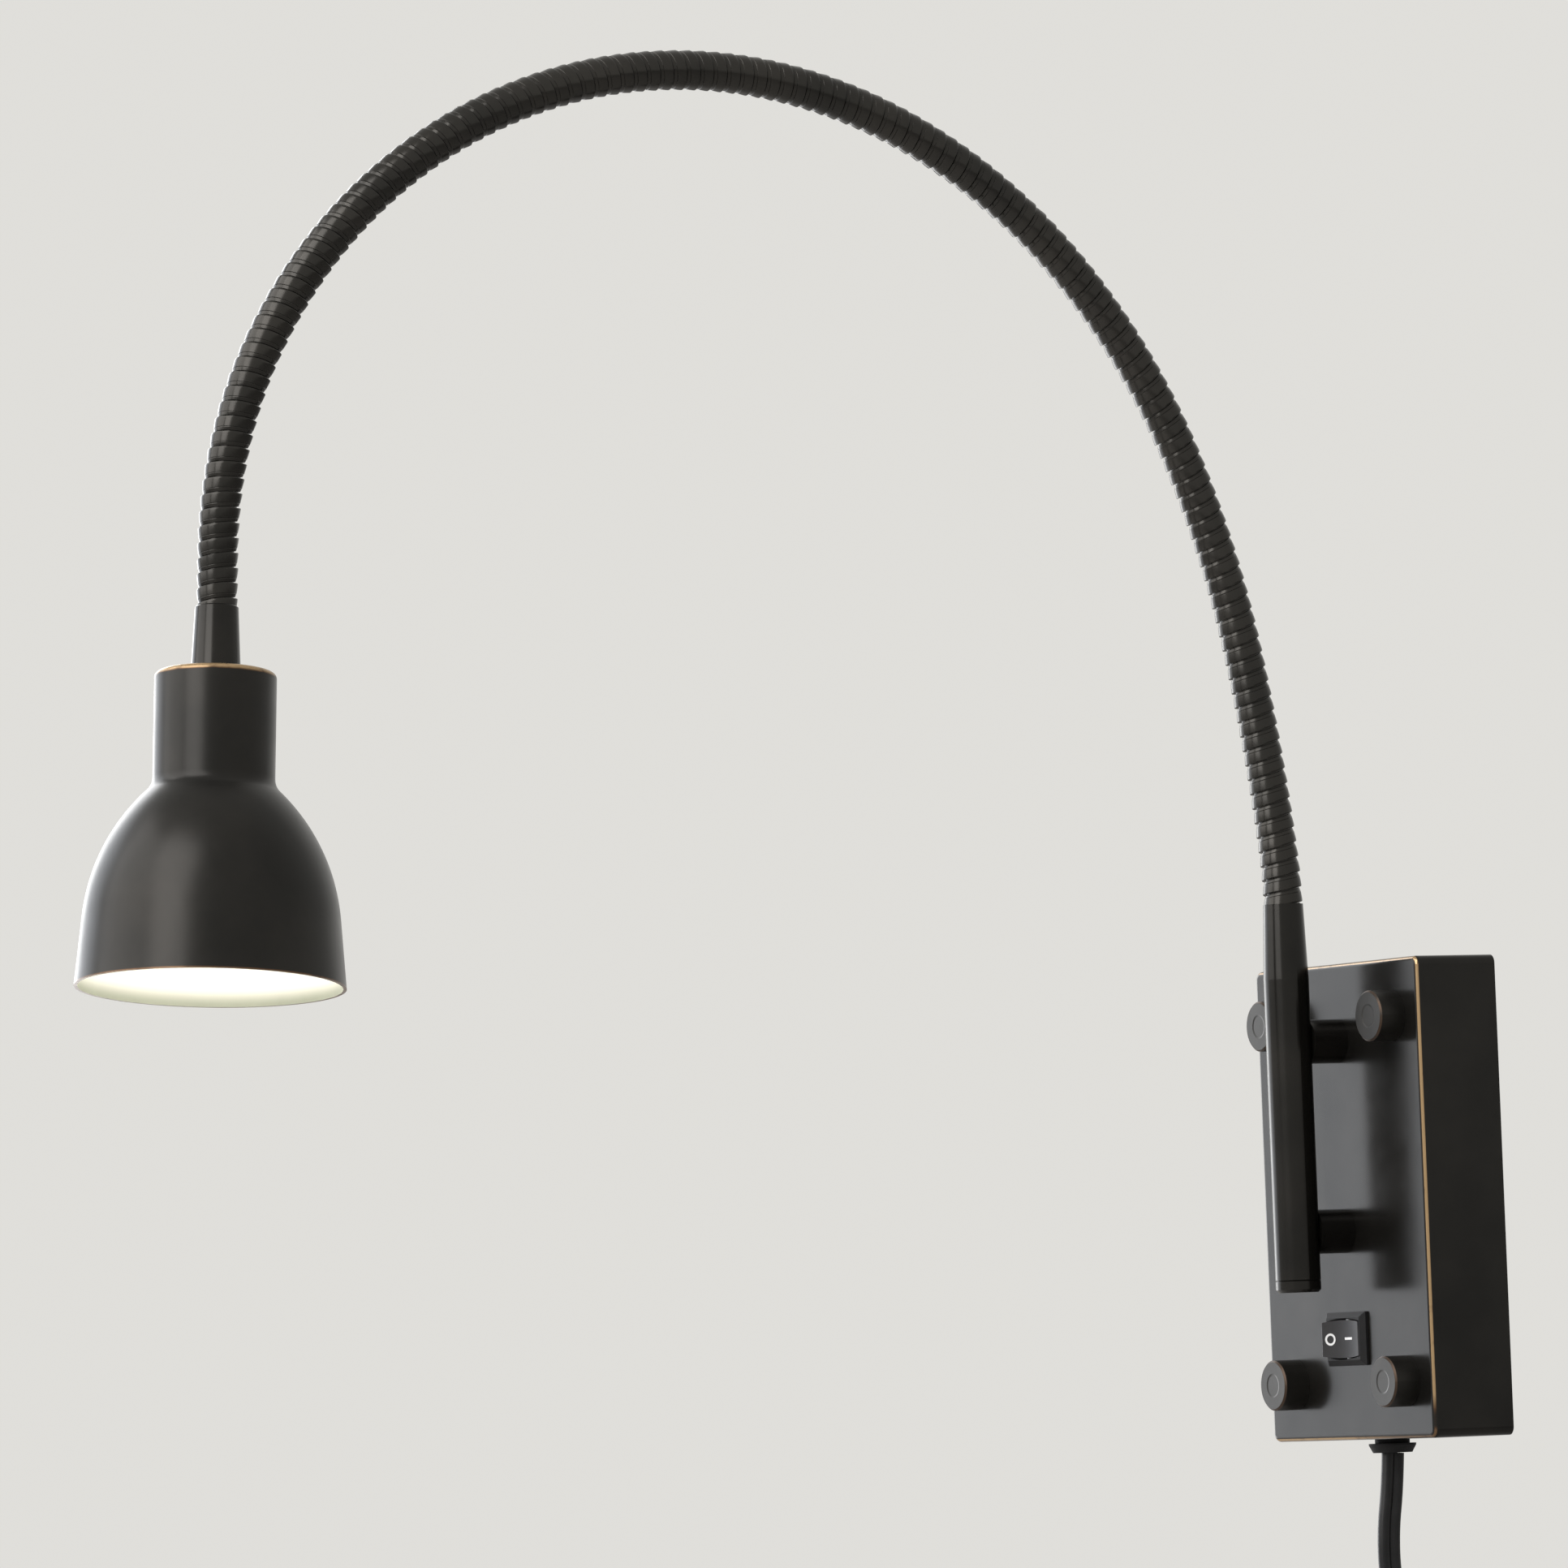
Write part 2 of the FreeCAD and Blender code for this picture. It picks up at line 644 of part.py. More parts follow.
def make_shade():
    """Spun bell: one wall thickness all over, open below, with a hole in its top."""
    hole_r = neck_spigot_r + spigot_play
    outer, outer_rim, outer_top = shade_outline(0.0)
    inner, inner_rim, inner_top = shade_outline(shade_wall)
    outer_hole = Vector(hole_r, 0, outer_top.z)
    inner_hole = Vector(hole_r, 0, inner_top.z)
    edges = outer + inner + [Part.LineSegment(outer_top, outer_hole).toShape(),
                             Part.LineSegment(outer_hole, inner_hole).toShape(),
                             Part.LineSegment(inner_hole, inner_top).toShape(),
                             Part.LineSegment(inner_rim, outer_rim).toShape()]
    wire = Part.Wire(Part.__sortEdges__(edges))
    return Part.Face(wire).revolve(Vector(0, 0, 0), Vector(0, 0, 1), 360)


def make_sleeve():
    hole_r = neck_spigot_r + spigot_play
    return revolved([(hole_r, shade_height), (sleeve_bottom_r, shade_height),
                     (sleeve_top_r, sleeve_top - 0.3), (sleeve_top_r - 0.3, sleeve_top),
                     (hole_r, sleeve_top)])


def make_sleeve_nut():
    level = shade_height - shade_wall - bridge_thick
    return hexagon(lock_nut_flats, level - lock_nut_thick, level, neck_spigot_r + thread_play)


def make_bridge():
    """Bent strap under the nut whose two feet stand on the lamp holder."""
    top = shade_height - shade_wall
    low = holder_top
    width = bridge_width
    half = bridge_span / 2.0
    strap = Part.makeBox(bridge_span, width, bridge_thick, Vector(-half, -width / 2.0, top - bridge_thick))
    pad = Part.makeCylinder(lock_nut_flats / 2.0 + 1.5, bridge_thick, Vector(0, 0, top - bridge_thick))
    pieces = [pad]
    for side in (-1, 1):
        leg_x = side * (half - bridge_thick / 2.0) - bridge_thick / 2.0
        foot_x = side * (half - bridge_foot / 2.0) - bridge_foot / 2.0
        pieces.append(Part.makeBox(bridge_thick, width, top - low, Vector(leg_x, -width / 2.0, low)))
        pieces.append(Part.makeBox(bridge_foot, width, bridge_thick, Vector(foot_x, -width / 2.0, low)))
    hole = Part.makeCylinder(neck_spigot_r + spigot_play, 4 * bridge_thick,
                             Vector(0, 0, top - 3 * bridge_thick))
    return strap.fuse(pieces).cut(hole).removeSplitter()


def pin_places():
    return [Vector(side * pin_spacing / 2.0, 0, 0) for side in (-1, 1)]


def core_places():
    return [Vector(side * (neck_bore_r - core_r - 0.2), 0, 0) for side in (-1, 1)]


def make_holder():
    """Insulating body with two wells below for the lamp's pins and two wire holes above."""
    low = holder_top - holder_height
    body = revolved([(0, low), (holder_r, low), (holder_r, holder_top - 1.0), (holder_r - 1.0, holder_top),
                     (0, holder_top)])
    cuts = []
    for place in pin_places():
        cuts.append(Part.makeCylinder(pin_head_r + pin_play, pin_length + 1.0,
                                      place + Vector(0, 0, low - 0.5)))
    for place in core_places():
        cuts.append(Part.makeCylinder(core_r + thread_play, 5.0, place + Vector(0, 0, holder_top - 4.0)))
    return body.cut(cuts)


def make_lamp_body():
    """Reflector body: stub with two pins, cone, and a short rim that holds the lens."""
    top = holder_top - holder_height
    stub_low = top - lamp_stub_height
    rim_top = lamp_face + lamp_rim_height
    seat_r = lens_r + thread_play
    body = revolved([(0, lamp_face + lens_thick), (seat_r, lamp_face + lens_thick), (seat_r, lamp_face),
                     (lamp_r - 0.6, lamp_face), (lamp_r, lamp_face + 0.6), (lamp_r, rim_top),
                     (lamp_stub_r + 4.0, stub_low - 1.0), (lamp_stub_r, stub_low), (lamp_stub_r, top),
                     (0, top)])
    return body.cut([Part.makeCylinder(pin_r + thread_play, 4.0, place + Vector(0, 0, top - 3.0))
                     for place in pin_places()])


def make_lamp_lens():
    return Part.makeCylinder(lens_r, lens_thick, Vector(0, 0, lamp_face))


def make_lamp_pins():
    low = holder_top - holder_height
    pins = []
    for place in pin_places():
        pin = revolved([(0, low - 3.0), (pin_r, low - 3.0), (pin_r, low + pin_length - 3.5),
                        (pin_head_r, low + pin_length - 3.0), (pin_head_r, low + pin_length),
                        (0, low + pin_length)])
        pin.translate(place)
        pins.append(pin)
    return Part.makeCompound(pins)


def make_holder_wires():
    """The two cores of the lead from the bore of the neck down to the lamp holder."""
    low = Vector(0, 0, holder_top - 4.0)
    high = Vector(0, 0, shade_height)
    return Part.makeCompound([rod(core_r, place + low, place + high) for place in core_places()])


# ---- wiring in the cover ---------------------------------------------------------------------------------
def make_lamp_lead():
    """Round lead from the cover, through the nipple, round one bend and up the stem."""
    start = Vector(0, -lead_tail, lower_spacer_z)
    bend_start = Vector(0, stem_y + lead_bend_r, lower_spacer_z)
    bend_end = Vector(0, stem_y, lower_spacer_z + lead_bend_r)
    k = lead_bend_r * math.sqrt(0.5)
    middle = Vector(0, stem_y + lead_bend_r - k, lower_spacer_z + lead_bend_r - k)
    end = Vector(0, stem_y, stem_taper_start - lock_nut_thick - 3.0)
    route = Part.Wire([Part.LineSegment(start, bend_start).toShape(),
                       Part.Arc(bend_start, middle, bend_end).toShape(),
                       Part.LineSegment(bend_end, end).toShape()])
    ring = Part.Wire(Part.makeCircle(lead_r, start, Vector(0, -1, 0)))
    return route.makePipeShell([ring], True, False)


def make_cores(bushing_top):
    """Cores between cord, switch, terminal block and lamp lead."""
    spread = (cord_width - cord_thick) / 2.0
    blade_x = terminal_spacing / 2.0
    blade_y = -(cover_depth - switch_body_depth - terminal_length + 2.5)
    blade_low = switch_z - terminal_width / 2.0 - core_end_gap
    blade_high = switch_z + terminal_width / 2.0 + core_end_gap
    low = bushing_top + core_end_gap
    rise = 0.3 * (blade_low - low)
    inner = bushing_y + spread
    outer = bushing_y - spread
    tail = core_end_gap - lead_tail
    block_high = block_low + block_length
    cord_to_switch = [Vector(0, outer, low), Vector(0, outer, low + rise),
                      Vector(-blade_x, blade_y, blade_low - rise), Vector(-blade_x, blade_y, blade_low)]
    cord_to_block = [Vector(0, inner, low), Vector(0, inner, low + rise),
                     Vector(block_x, block_y, block_low - core_lead_in),
                     Vector(block_x, block_y, block_low + block_grip)]
    lead_to_block = [Vector(core_offset, tail, lower_spacer_z),
                     Vector(core_offset, tail + 5.5, lower_spacer_z),
                     Vector(block_x, block_y, block_high + core_lead_in),
                     Vector(block_x, block_y, block_high - block_grip)]
    lead_to_switch = [Vector(-core_offset, tail, lower_spacer_z),
                      Vector(-core_offset, tail + 7.0, lower_spacer_z),
                      Vector(blade_x, blade_y, lower_spacer_z - 12.0), Vector(blade_x, blade_y, blade_high)]
    supply = [tube_along(cord_to_switch, core_r, "supply core to switch"),
              tube_along(cord_to_block, core_r, "supply core to block")]
    lamp = [tube_along(lead_to_block, core_r, "lamp core to block"),
            tube_along(lead_to_switch, core_r, "lamp core to switch")]
    return Part.makeCompound(supply), Part.makeCompound(lamp)


def make_terminal_block():
    """Insulating block on the plate with one bore for two core ends and two clamp screws' wells."""
    block = Part.makeBox(block_width, block_depth, block_length,
                         Vector(block_x - block_width / 2.0, -plate_thick - block_depth, block_low))
    upright = [e for e in block.Edges if abs(e.Vertexes[0].Y + plate_thick + block_depth) < 0.01
               and abs(e.Vertexes[1].Y + plate_thick + block_depth) < 0.01]
    block = block.makeChamfer(0.6, upright)
    bore = Part.makeCylinder(core_r + thread_play, block_length + 2, Vector(block_x, block_y, block_low - 1))
    wells = []
    for level in (0.25, 0.75):
        place = Vector(block_x, -plate_thick - block_depth - 1, block_low + level * block_length)
        wells.append(Part.makeCylinder(clamp_screw_r + thread_play, block_depth / 2.0 + 1 - core_r, place,
                                       Vector(0, 1, 0)))
    return block.cut([bore] + wells)


def make_clamp_screws():
    """Slotted grub screws that press on the core ends."""
    screws = []
    for level in (0.25, 0.75):
        z = block_low + level * block_length
        place = Vector(block_x, block_y - core_r - core_end_gap - clamp_screw_length, z)
        screw = Part.makeCylinder(clamp_screw_r, clamp_screw_length, place, Vector(0, 1, 0))
        slot = Part.makeBox(2 * clamp_screw_r + 1, 0.8, 0.6,
                            place + Vector(-clamp_screw_r - 0.5, -0.2, -0.3))
        screws.append(screw.cut(slot))
    return Part.makeCompound(screws)


# ---- cord ------------------------------------------------------------------------------------------------
def make_bushing():
    """Moulded strain relief: threaded neck through the cover's bottom wall and a bevelled flange."""
    bottom = -cover_height / 2.0
    flange_top = bottom - bushing_neck
    edge = flange_top - bushing_flange_edge
    face = edge - bushing_flange_cone
    top = bottom + cover_wall + bushing_inside
    body = revolved([(0, face), (bushing_face_r, face), (bushing_flange_r, edge),
                     (bushing_flange_r, flange_top), (bushing_neck_r, flange_top), (bushing_neck_r, top),
                     (0, top)])
    body.translate(Vector(0, bushing_y, 0))
    return body, face, top


def make_bushing_nut():
    level = -cover_height / 2.0 + cover_wall
    nut = hexagon(bushing_nut_flats, level, level + bushing_nut_thick, bushing_neck_r + thread_play)
    nut.translate(Vector(0, bushing_y, 0))
    return nut


def flat_tube(points, name):
    """Flat twin cord along a rounded route, its width always across the wall's normal."""
    route, radii = rounded_route(points)
    half = cord_thick / 2.0
    side = (cord_width - cord_thick) / 2.0
    direction = unit(points[1] - points[0])
    wide = unit(Vector(0, 1, 0) - direction * direction.y)
    thin = unit(direction.cross(wide))
    a = points[0] + wide * side
    b = points[0] - wide * side
    section = Part.Wire([
        Part.LineSegment(a + thin * half, b + thin * half).toShape(),
        Part.Arc(b + thin * half, b - wide * half, b - thin * half).toShape(),
        Part.LineSegment(b - thin * half, a - thin * half).toShape(),
        Part.Arc(a - thin * half, a + wide * half, a + thin * half).toShape()])
    sweep = Part.BRepOffsetAPI.MakePipeShell(route)
    sweep.setBiNormalMode(Vector(0, 1, 0))
    sweep.add(section)
    sweep.build()
    sweep.makeSolid()
    solid = sweep.shape()
    area = cord_thick * (cord_width - cord_thick) + math.pi * half * half
    print(name, "length %.1f" % route.Length, "radii", [round(r, 1) for r in radii],
          "volume ratio %.4f" % (abs(solid.Volume) / (area * route.Length)))
    return solid


def coil_point(angle, y):
    """Point on the coil's outermost turn at an angle above its right side."""
    turned = math.radians(angle)
    return Vector(coil_centre.x + coil_outer_turn_r * math.cos(turned), y,
                  coil_centre.z + coil_outer_turn_r * math.sin(turned))


def lead_route(face):
    """From the bushing down to the coil's front row, where it runs in at the outside."""
    entry = coil_point(coil_entry_angle, coil_centre.y - coil_pitch_y / 2.0)
    return [Vector(0, bushing_y, face), Vector(0, -13.3, -80.0), Vector(0, -15.2, -92.0),
            Vector(0, -15.3, -104.5), Vector(1.1, -13.6, -116.8), Vector(4.33, -11.9, -128.75), entry]


def tail_route():
    """From the outside of the coil's back row, past the lead, down to the plug."""
    leave = coil_point(coil_exit_angle, coil_centre.y + coil_pitch_y / 2.0)
    return [leave, Vector(10.4, -4.75, -138.5), Vector(17.0, -5.6, -147.1), Vector(22.2, -7.9, -157.0),
            Vector(25.3, -10.4, -167.8), Vector(26.3, -11.5, -179.0)]


def make_coil():
    """Ring with the outer shape of all the turns together."""
    section = rounded_wire(coil_depth, coil_rows * coil_pitch_y, coil_corner_r)
    section.translate(Vector(coil_mid_r, 0, 0))
    ring = Part.Face(section).revolve(Vector(0, 0, 0), Vector(0, 1, 0), 360)
    ring.translate(coil_centre)
    return ring


def make_tie():
    """Strap round the bundle of turns."""
    depth = coil_depth + 2 * tie_play
    width = coil_rows * coil_pitch_y + 2 * tie_play
    low = -tie_width / 2.0
    band = slab(depth + 2 * tie_thick, width + 2 * tie_thick, coil_corner_r + tie_thick, low, -low)
    band = band.cut(slab(depth, width, coil_corner_r, low - 1, 1 - low))
    band.translate(Vector(coil_mid_r, 0, 0))
    band.rotate(Vector(0, 0, 0), Vector(0, 1, 0), -tie_angle)
    band.translate(coil_centre)
    return band


def make_plug(place):
    """Flat two-pin plug hanging from the end of the cord, and its two blades."""
    levels = [(0.0, cord_thick + 1.4, cord_width + 1.4, 2.0), (-plug_neck_length, 7.0, 11.0, 2.4),
              (-plug_neck_length - 5.0, plug_thick, plug_width, 3.0),
              (-plug_length, plug_thick, plug_width, 3.0)]
    wires = []
    for level, thick, width, radius in levels:
        wire = rounded_wire(thick, width, radius)
        wire.translate(Vector(0, 0, level))
        wires.append(wire)
    body = Part.makeLoft(wires, True, True)
    blades = []
    for side in (-1, 1):
        corner = Vector(-blade_width / 2.0, side * blade_spacing / 2.0 - blade_thick / 2.0,
                        -plug_length - blade_length)
        blade = Part.makeBox(blade_width, blade_thick, blade_length + blade_root, corner)
        tip = [e for e in blade.Edges
               if e.Length < blade_thick + 0.01 and e.CenterOfMass.z < corner.z + 0.01]
        blades.append(blade.makeChamfer(1.2, tip))
        socket = Part.makeBox(blade_width + 0.02, blade_thick + 0.02, blade_root + 1,
                              Vector(corner.x - 0.01, corner.y - 0.01, -plug_length - 1))
        body = body.cut(socket)
    blades = Part.makeCompound(blades)
    body.translate(place)
    blades.translate(place)
    return body, blades


# ---- assembly -------------------------------------------------------------------------------------------
def report_joint(number, place):
    axis = place.Rotation.multVec(Vector(0, 0, 1))
    print("joint %d at %.4f %.4f %.4f along %.5f %.5f %.5f"
          % (number, place.Base.x, place.Base.y, place.Base.z, axis.x, axis.y, axis.z))


def build():
    nodes = {}
    nodes["cover_box"] = make_cover()
    nodes["mounting_plate"] = make_mounting_plate()
    nodes["cover_studs"] = make_studs()
    nodes["stud_lock_nuts"] = make_stud_lock_nuts()
    nodes["cap_nuts"] = make_cap_nuts()
    nodes["switch_housing"] = make_switch_housing()
    nodes["switch_rocker"] = make_rocker()
    nodes["switch_pivot_pin"] = make_pivot_pin()
    nodes["switch_terminals"] = make_terminals()

    nodes["stem_tube"] = make_stem_tube()
    nodes["stem_end_cap"] = make_stem_cap()
    nodes["upper_spacer"] = make_spacer(upper_spacer_z, screw_r + hole_play)
    nodes["lower_spacer"] = make_spacer(lower_spacer_z, nipple_r + hole_play)
    nodes["spacer_screw"] = make_spacer_screw()
    nodes["wire_nipple"] = make_nipple()
    nodes["nipple_nut"] = make_nipple_nut()
    nodes["neck_lock_nut"] = make_neck_lock_nut()

    place = Placement(Vector(0, stem_y, stem_top), Rotation())
    root, bend = make_root()
    root.Placement = place.multiply(root.Placement)
    nodes["neck_root"] = root
    place = place.multiply(bend.far_end())
    for number, turn in enumerate(link_turns, 1):
        report_joint(number, place)
        link, bend = make_link(turn)
        link.Placement = place.multiply(link.Placement)
        nodes["neck_link_%d" % number] = link
        place = place.multiply(bend.far_end())
    report_joint(len(link_turns) + 1, place)

    tilt = Rotation(Vector(0, 0, 1), -mouth_direction)
    drop = Placement(Vector(0, 0, -sleeve_top - stub_length), Rotation())
    head = Placement(place.Base, tilt).multiply(drop)
    print("head", head)
    head_nodes = {"neck_tip": make_tip(), "shade_sleeve": make_sleeve(), "shade": make_shade(),
                  "sleeve_nut": make_sleeve_nut(), "holder_bridge": make_bridge(),
                  "lamp_holder": make_holder(), "lamp_body": make_lamp_body(),
                  "lamp_lens": make_lamp_lens(), "lamp_pins": make_lamp_pins(),
                  "holder_wires": make_holder_wires()}
    for name, shape in head_nodes.items():
        shape.Placement = head.multiply(shape.Placement)
        nodes[name] = shape

    nodes["cord_bushing"], face, bushing_top = make_bushing()
    nodes["bushing_nut"] = make_bushing_nut()
    nodes["supply_cores"], nodes["lamp_cores"] = make_cores(bushing_top)
    nodes["terminal_block"] = make_terminal_block()
    nodes["clamp_screws"] = make_clamp_screws()
    nodes["lamp_lead"] = make_lamp_lead()
    nodes["cord_lead"] = flat_tube(lead_route(face), "cord lead")
    nodes["cord_coil"] = make_coil()
    nodes["cord_tie"] = make_tie()
    tail = tail_route()
    nodes["cord_tail"] = flat_tube(tail, "cord tail")
    nodes["plug_body"], nodes["plug_blades"] = make_plug(tail[-1])
    return nodes


os.makedirs("parts", exist_ok=True)
for name, shape in build().items():
    if not shape.isValid() or shape.Volume <= 0:
        print("CHECK", name, shape.isValid(), shape.Volume)
    shape.exportStep("parts/" + name + ".step")
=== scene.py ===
# %% [markdown]
# # A gooseneck wall sconce
# A wall lamp has a flat box that hides its wiring, a round stem in front of it, a flexible neck and a shade
# shaped like a bell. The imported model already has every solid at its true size, so this lesson adds what a
# solid cannot show: the wound strip of the neck, the grooved cord, worn bronze and lamp light.

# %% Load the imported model
import json
import math
import bpy
from mathutils import Matrix, Vector


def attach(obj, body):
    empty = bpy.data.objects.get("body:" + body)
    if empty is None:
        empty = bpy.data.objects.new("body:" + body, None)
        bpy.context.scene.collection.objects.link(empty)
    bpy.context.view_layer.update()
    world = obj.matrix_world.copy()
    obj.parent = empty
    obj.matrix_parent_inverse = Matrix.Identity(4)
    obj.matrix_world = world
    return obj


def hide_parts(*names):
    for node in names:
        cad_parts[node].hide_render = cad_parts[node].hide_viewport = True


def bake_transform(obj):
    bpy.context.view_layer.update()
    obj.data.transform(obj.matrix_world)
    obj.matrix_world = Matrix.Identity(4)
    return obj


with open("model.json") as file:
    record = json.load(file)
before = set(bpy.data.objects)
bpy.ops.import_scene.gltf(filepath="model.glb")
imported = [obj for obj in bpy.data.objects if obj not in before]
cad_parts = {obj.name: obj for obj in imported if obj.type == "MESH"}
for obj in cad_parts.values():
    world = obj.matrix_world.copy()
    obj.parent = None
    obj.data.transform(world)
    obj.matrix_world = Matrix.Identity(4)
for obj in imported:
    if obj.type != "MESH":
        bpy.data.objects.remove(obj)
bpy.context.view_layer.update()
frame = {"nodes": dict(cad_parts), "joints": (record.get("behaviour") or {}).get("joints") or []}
joints = {joint["name"]: Vector(joint["pos_m"]) for joint in frame["joints"]}

# %% [markdown]
# ## Camera
# The lamp was photographed from the right, a little below its middle, through a long lens, and the camera
# was tipped by two degrees. Azimuth, elevation and roll give three directions: right, up and back towards
# the camera. These are the columns of its matrix, so no target has to be aimed at.

# %% Place the camera
azimuth = math.radians(62.418)
elevation = math.radians(-3.43)
roll = math.radians(2.155)
camera_place = (2.45777, -1.48106, -0.04792)
back = Vector((math.sin(azimuth) * math.cos(elevation), -math.cos(azimuth) * math.cos(elevation),
               math.sin(elevation)))
level_right = Vector((math.cos(azimuth), math.sin(azimuth), 0))
level_up = back.cross(level_right)
right = level_right * math.cos(roll) - level_up * math.sin(roll)
up = level_right * math.sin(roll) + level_up * math.cos(roll)

camera_data = bpy.data.cameras.new("long_lens")
camera_data.lens = 233.6
camera_data.sensor_width = 36.0
camera_data.clip_end = 50.0
camera = bpy.data.objects.new("camera", camera_data)
bpy.context.scene.collection.objects.link(camera)
camera_turn = Matrix((right, up, back)).transposed().to_4x4()
camera.matrix_world = Matrix.Translation(camera_place) @ camera_turn
bpy.context.scene.camera = camera
print("camera looks along", tuple(round(-v, 3) for v in back))

# %% [markdown]
# ## Cord
# A flat two-core mains cord leaves the moulded bushing, swings out a little and falls. The photograph shows
# its first 32 mm, so the rest of an ordinary 1.8 m lead is wound in a tied ring just below the picture, and
# the plug hangs beside it. One NURBS spline carries the whole length: drop, turns and tail are all its
# control points. Its turns run inwards in a front row, cross to a back row and run out again.

# %% Route of the cord
def mm(x, y, z):
    """Place given in millimetres."""
    return Vector((x, y, z)) * 0.001

cord_width = 0.0068
cord_thick = 0.0034
cord_groove = 0.0008
coil_centre = mm(-30.0, -8.2, -158.0)
outer_turn = 0.043475
inner_turn = 0.0313
front_row = -0.01165
back_row = -0.00475
rounds = 7
points_per_turn = 16
crossing_from = 0.49
crossing_share = 0.02

def on_ring(angle, radius, y):
    """A point of the coil, angle counted in degrees above its right side."""
    turned = math.radians(angle)
    across, upwards = radius * math.cos(turned), radius * math.sin(turned)
    return Vector((coil_centre.x + across, y, coil_centre.z + upwards))

drop = [mm(0, -12.7, -70.6), mm(0, -13.3, -80.0), mm(0, -15.2, -92.0), mm(0, -15.3, -104.5),
        mm(1.1, -13.6, -116.8), mm(4.33, -11.9, -128.75)]
tail = [mm(10.4, -4.75, -138.5), mm(17.0, -5.6, -147.1), mm(22.2, -7.9, -157.0), mm(25.3, -10.4, -167.8),
        mm(26.3, -11.5, -179.0)]
first_angle = 25.0
last_angle = 40.0 - rounds * 360.0
steps = round((first_angle - last_angle) / 360.0 * points_per_turn)
turns = []
for i in range(steps + 1):
    share = i / steps
    inward = 1.0 - abs(2.0 * share - 1.0)
    crossed = min(max((share - crossing_from) / crossing_share, 0.0), 1.0)
    # The spline cuts the corners of its control points, so those stand a little outside the turn.
    swell = 1.0 / math.cos(math.pi / points_per_turn) if 0 < i < steps else 1.0
    radius = (outer_turn + (inner_turn - outer_turn) * inward) * swell
    turns.append(on_ring(first_angle + (last_angle - first_angle) * share, radius,
                         front_row + (back_row - front_row) * crossed))
route = drop + turns + tail
print("points on the route:", len(route))

# %% Spline through the route
cord_curve = bpy.data.curves.new("cord_line", "CURVE")
cord_curve.dimensions = "3D"
spline = cord_curve.splines.new("NURBS")
spline.points.add(len(route) - 1)
for point, place in zip(spline.points, route):
    point.co = (*place, 1.0)
spline.order_u = 3
spline.use_endpoint_u = True
spline.resolution_u = 6
cord_line = bpy.data.objects.new("cord_line", cord_curve)
bpy.context.scene.collection.objects.link(cord_line)
bpy.context.view_layer.update()
line_mesh = bpy.data.meshes.new_from_object(cord_line)
line = [vertex.co.copy() for vertex in line_mesh.vertices]
bpy.data.meshes.remove(line_mesh)
bpy.data.objects.remove(cord_line)
length = sum((b - a).length for a, b in zip(line, line[1:]))
print("cord length:", round(length, 3), "m in", len(line), "points")

# %% [markdown]
# The section of the cord is two round cores side by side with a shallow groove between them. It is carried
# along the line point by point, with its width pointing at the wall as nearly as the line allows, which a
# curve's own bevel would not keep to.

# %% Skin of the cord
lobe_steps = 10
lobe_half_span = 125

def twin_section(width, thick, groove):
    """Outline of a flat twin cord as (across the width, across the thickness)."""
    lobe = thick / 2.0
    offset = width / 2.0 - lobe
    outline = []
    for side in (1, -1):
        for i in range(lobe_steps + 1):
            angle = math.radians(lobe_half_span * (2 * i / lobe_steps - 1))
            outline.append((side * (offset + lobe * math.cos(angle)), side * lobe * math.sin(angle)))
        outline.append((0.0, side * (lobe - groove)))
    return outline

section = twin_section(cord_width, cord_thick, cord_groove)
vertices = []
faces = []
for i, place in enumerate(line):
    before = line[max(i - 1, 0)]
    after = line[min(i + 1, len(line) - 1)]
    along = (after - before).normalized()
    wide = (Vector((0, 1, 0)) - along * along.y).normalized()
    thin = along.cross(wide)
    for a, b in section:
        vertices.append(place + wide * a + thin * b)
count = len(section)
for i in range(len(line) - 1):
    for k in range(count):
        m = (k + 1) % count
        faces.append((i * count + k, i * count + m, (i + 1) * count + m, (i + 1) * count + k))
faces.append(tuple(reversed(range(count))))
faces.append(tuple(range((len(line) - 1) * count, len(line) * count)))
cord_mesh = bpy.data.meshes.new("mains_cord")
cord_mesh.from_pydata([tuple(v) for v in vertices], [], faces)
cord_mesh.update()
mains_cord = bpy.data.objects.new("mains_cord", cord_mesh)
bpy.context.scene.collection.objects.link(mains_cord)
print("cord faces:", len(cord_mesh.polygons))

# %% [markdown]
# Operators act on all that is selected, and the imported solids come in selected. These helpers clear that
# first, then smooth a piece, turn its faces outwards or apply its modifiers, so no later cell has to repeat
# it.

# %% Helpers for modelling by hand
def deselect():
    """Leaves edit mode and selects nothing."""
    if bpy.context.object and bpy.context.object.mode != "OBJECT":
        bpy.ops.object.mode_set(mode="OBJECT")
    bpy.ops.object.select_all(action="DESELECT")

def work_on(piece):
    """Makes one piece the selected and active one."""
    deselect()
    piece.select_set(True)
    bpy.context.view_layer.objects.active = piece

def smooth(piece, degrees):
    """Shades a piece smooth, but keeps edges sharper than the angle."""
    work_on(piece)
    bpy.ops.object.shade_smooth_by_angle(angle=math.radians(degrees))

same_place = 1e-7

def turn_outwards(piece):
    """Points every face of a closed piece outwards."""
    work_on(piece)
    bpy.ops.object.mode_set(mode="EDIT")
    bpy.ops.mesh.select_all(action="SELECT")
    bpy.ops.mesh.remove_doubles(threshold=same_place)
    bpy.ops.mesh.normals_make_consistent(inside=False)
    bpy.ops.object.mode_set(mode="OBJECT")

def finish_modifiers(piece):
    """Applies a piece's modifiers in their order."""
    work_on(piece)
    for name in [modifier.name for modifier in piece.modifiers]:
        bpy.ops.object.modifier_apply(modifier=name)

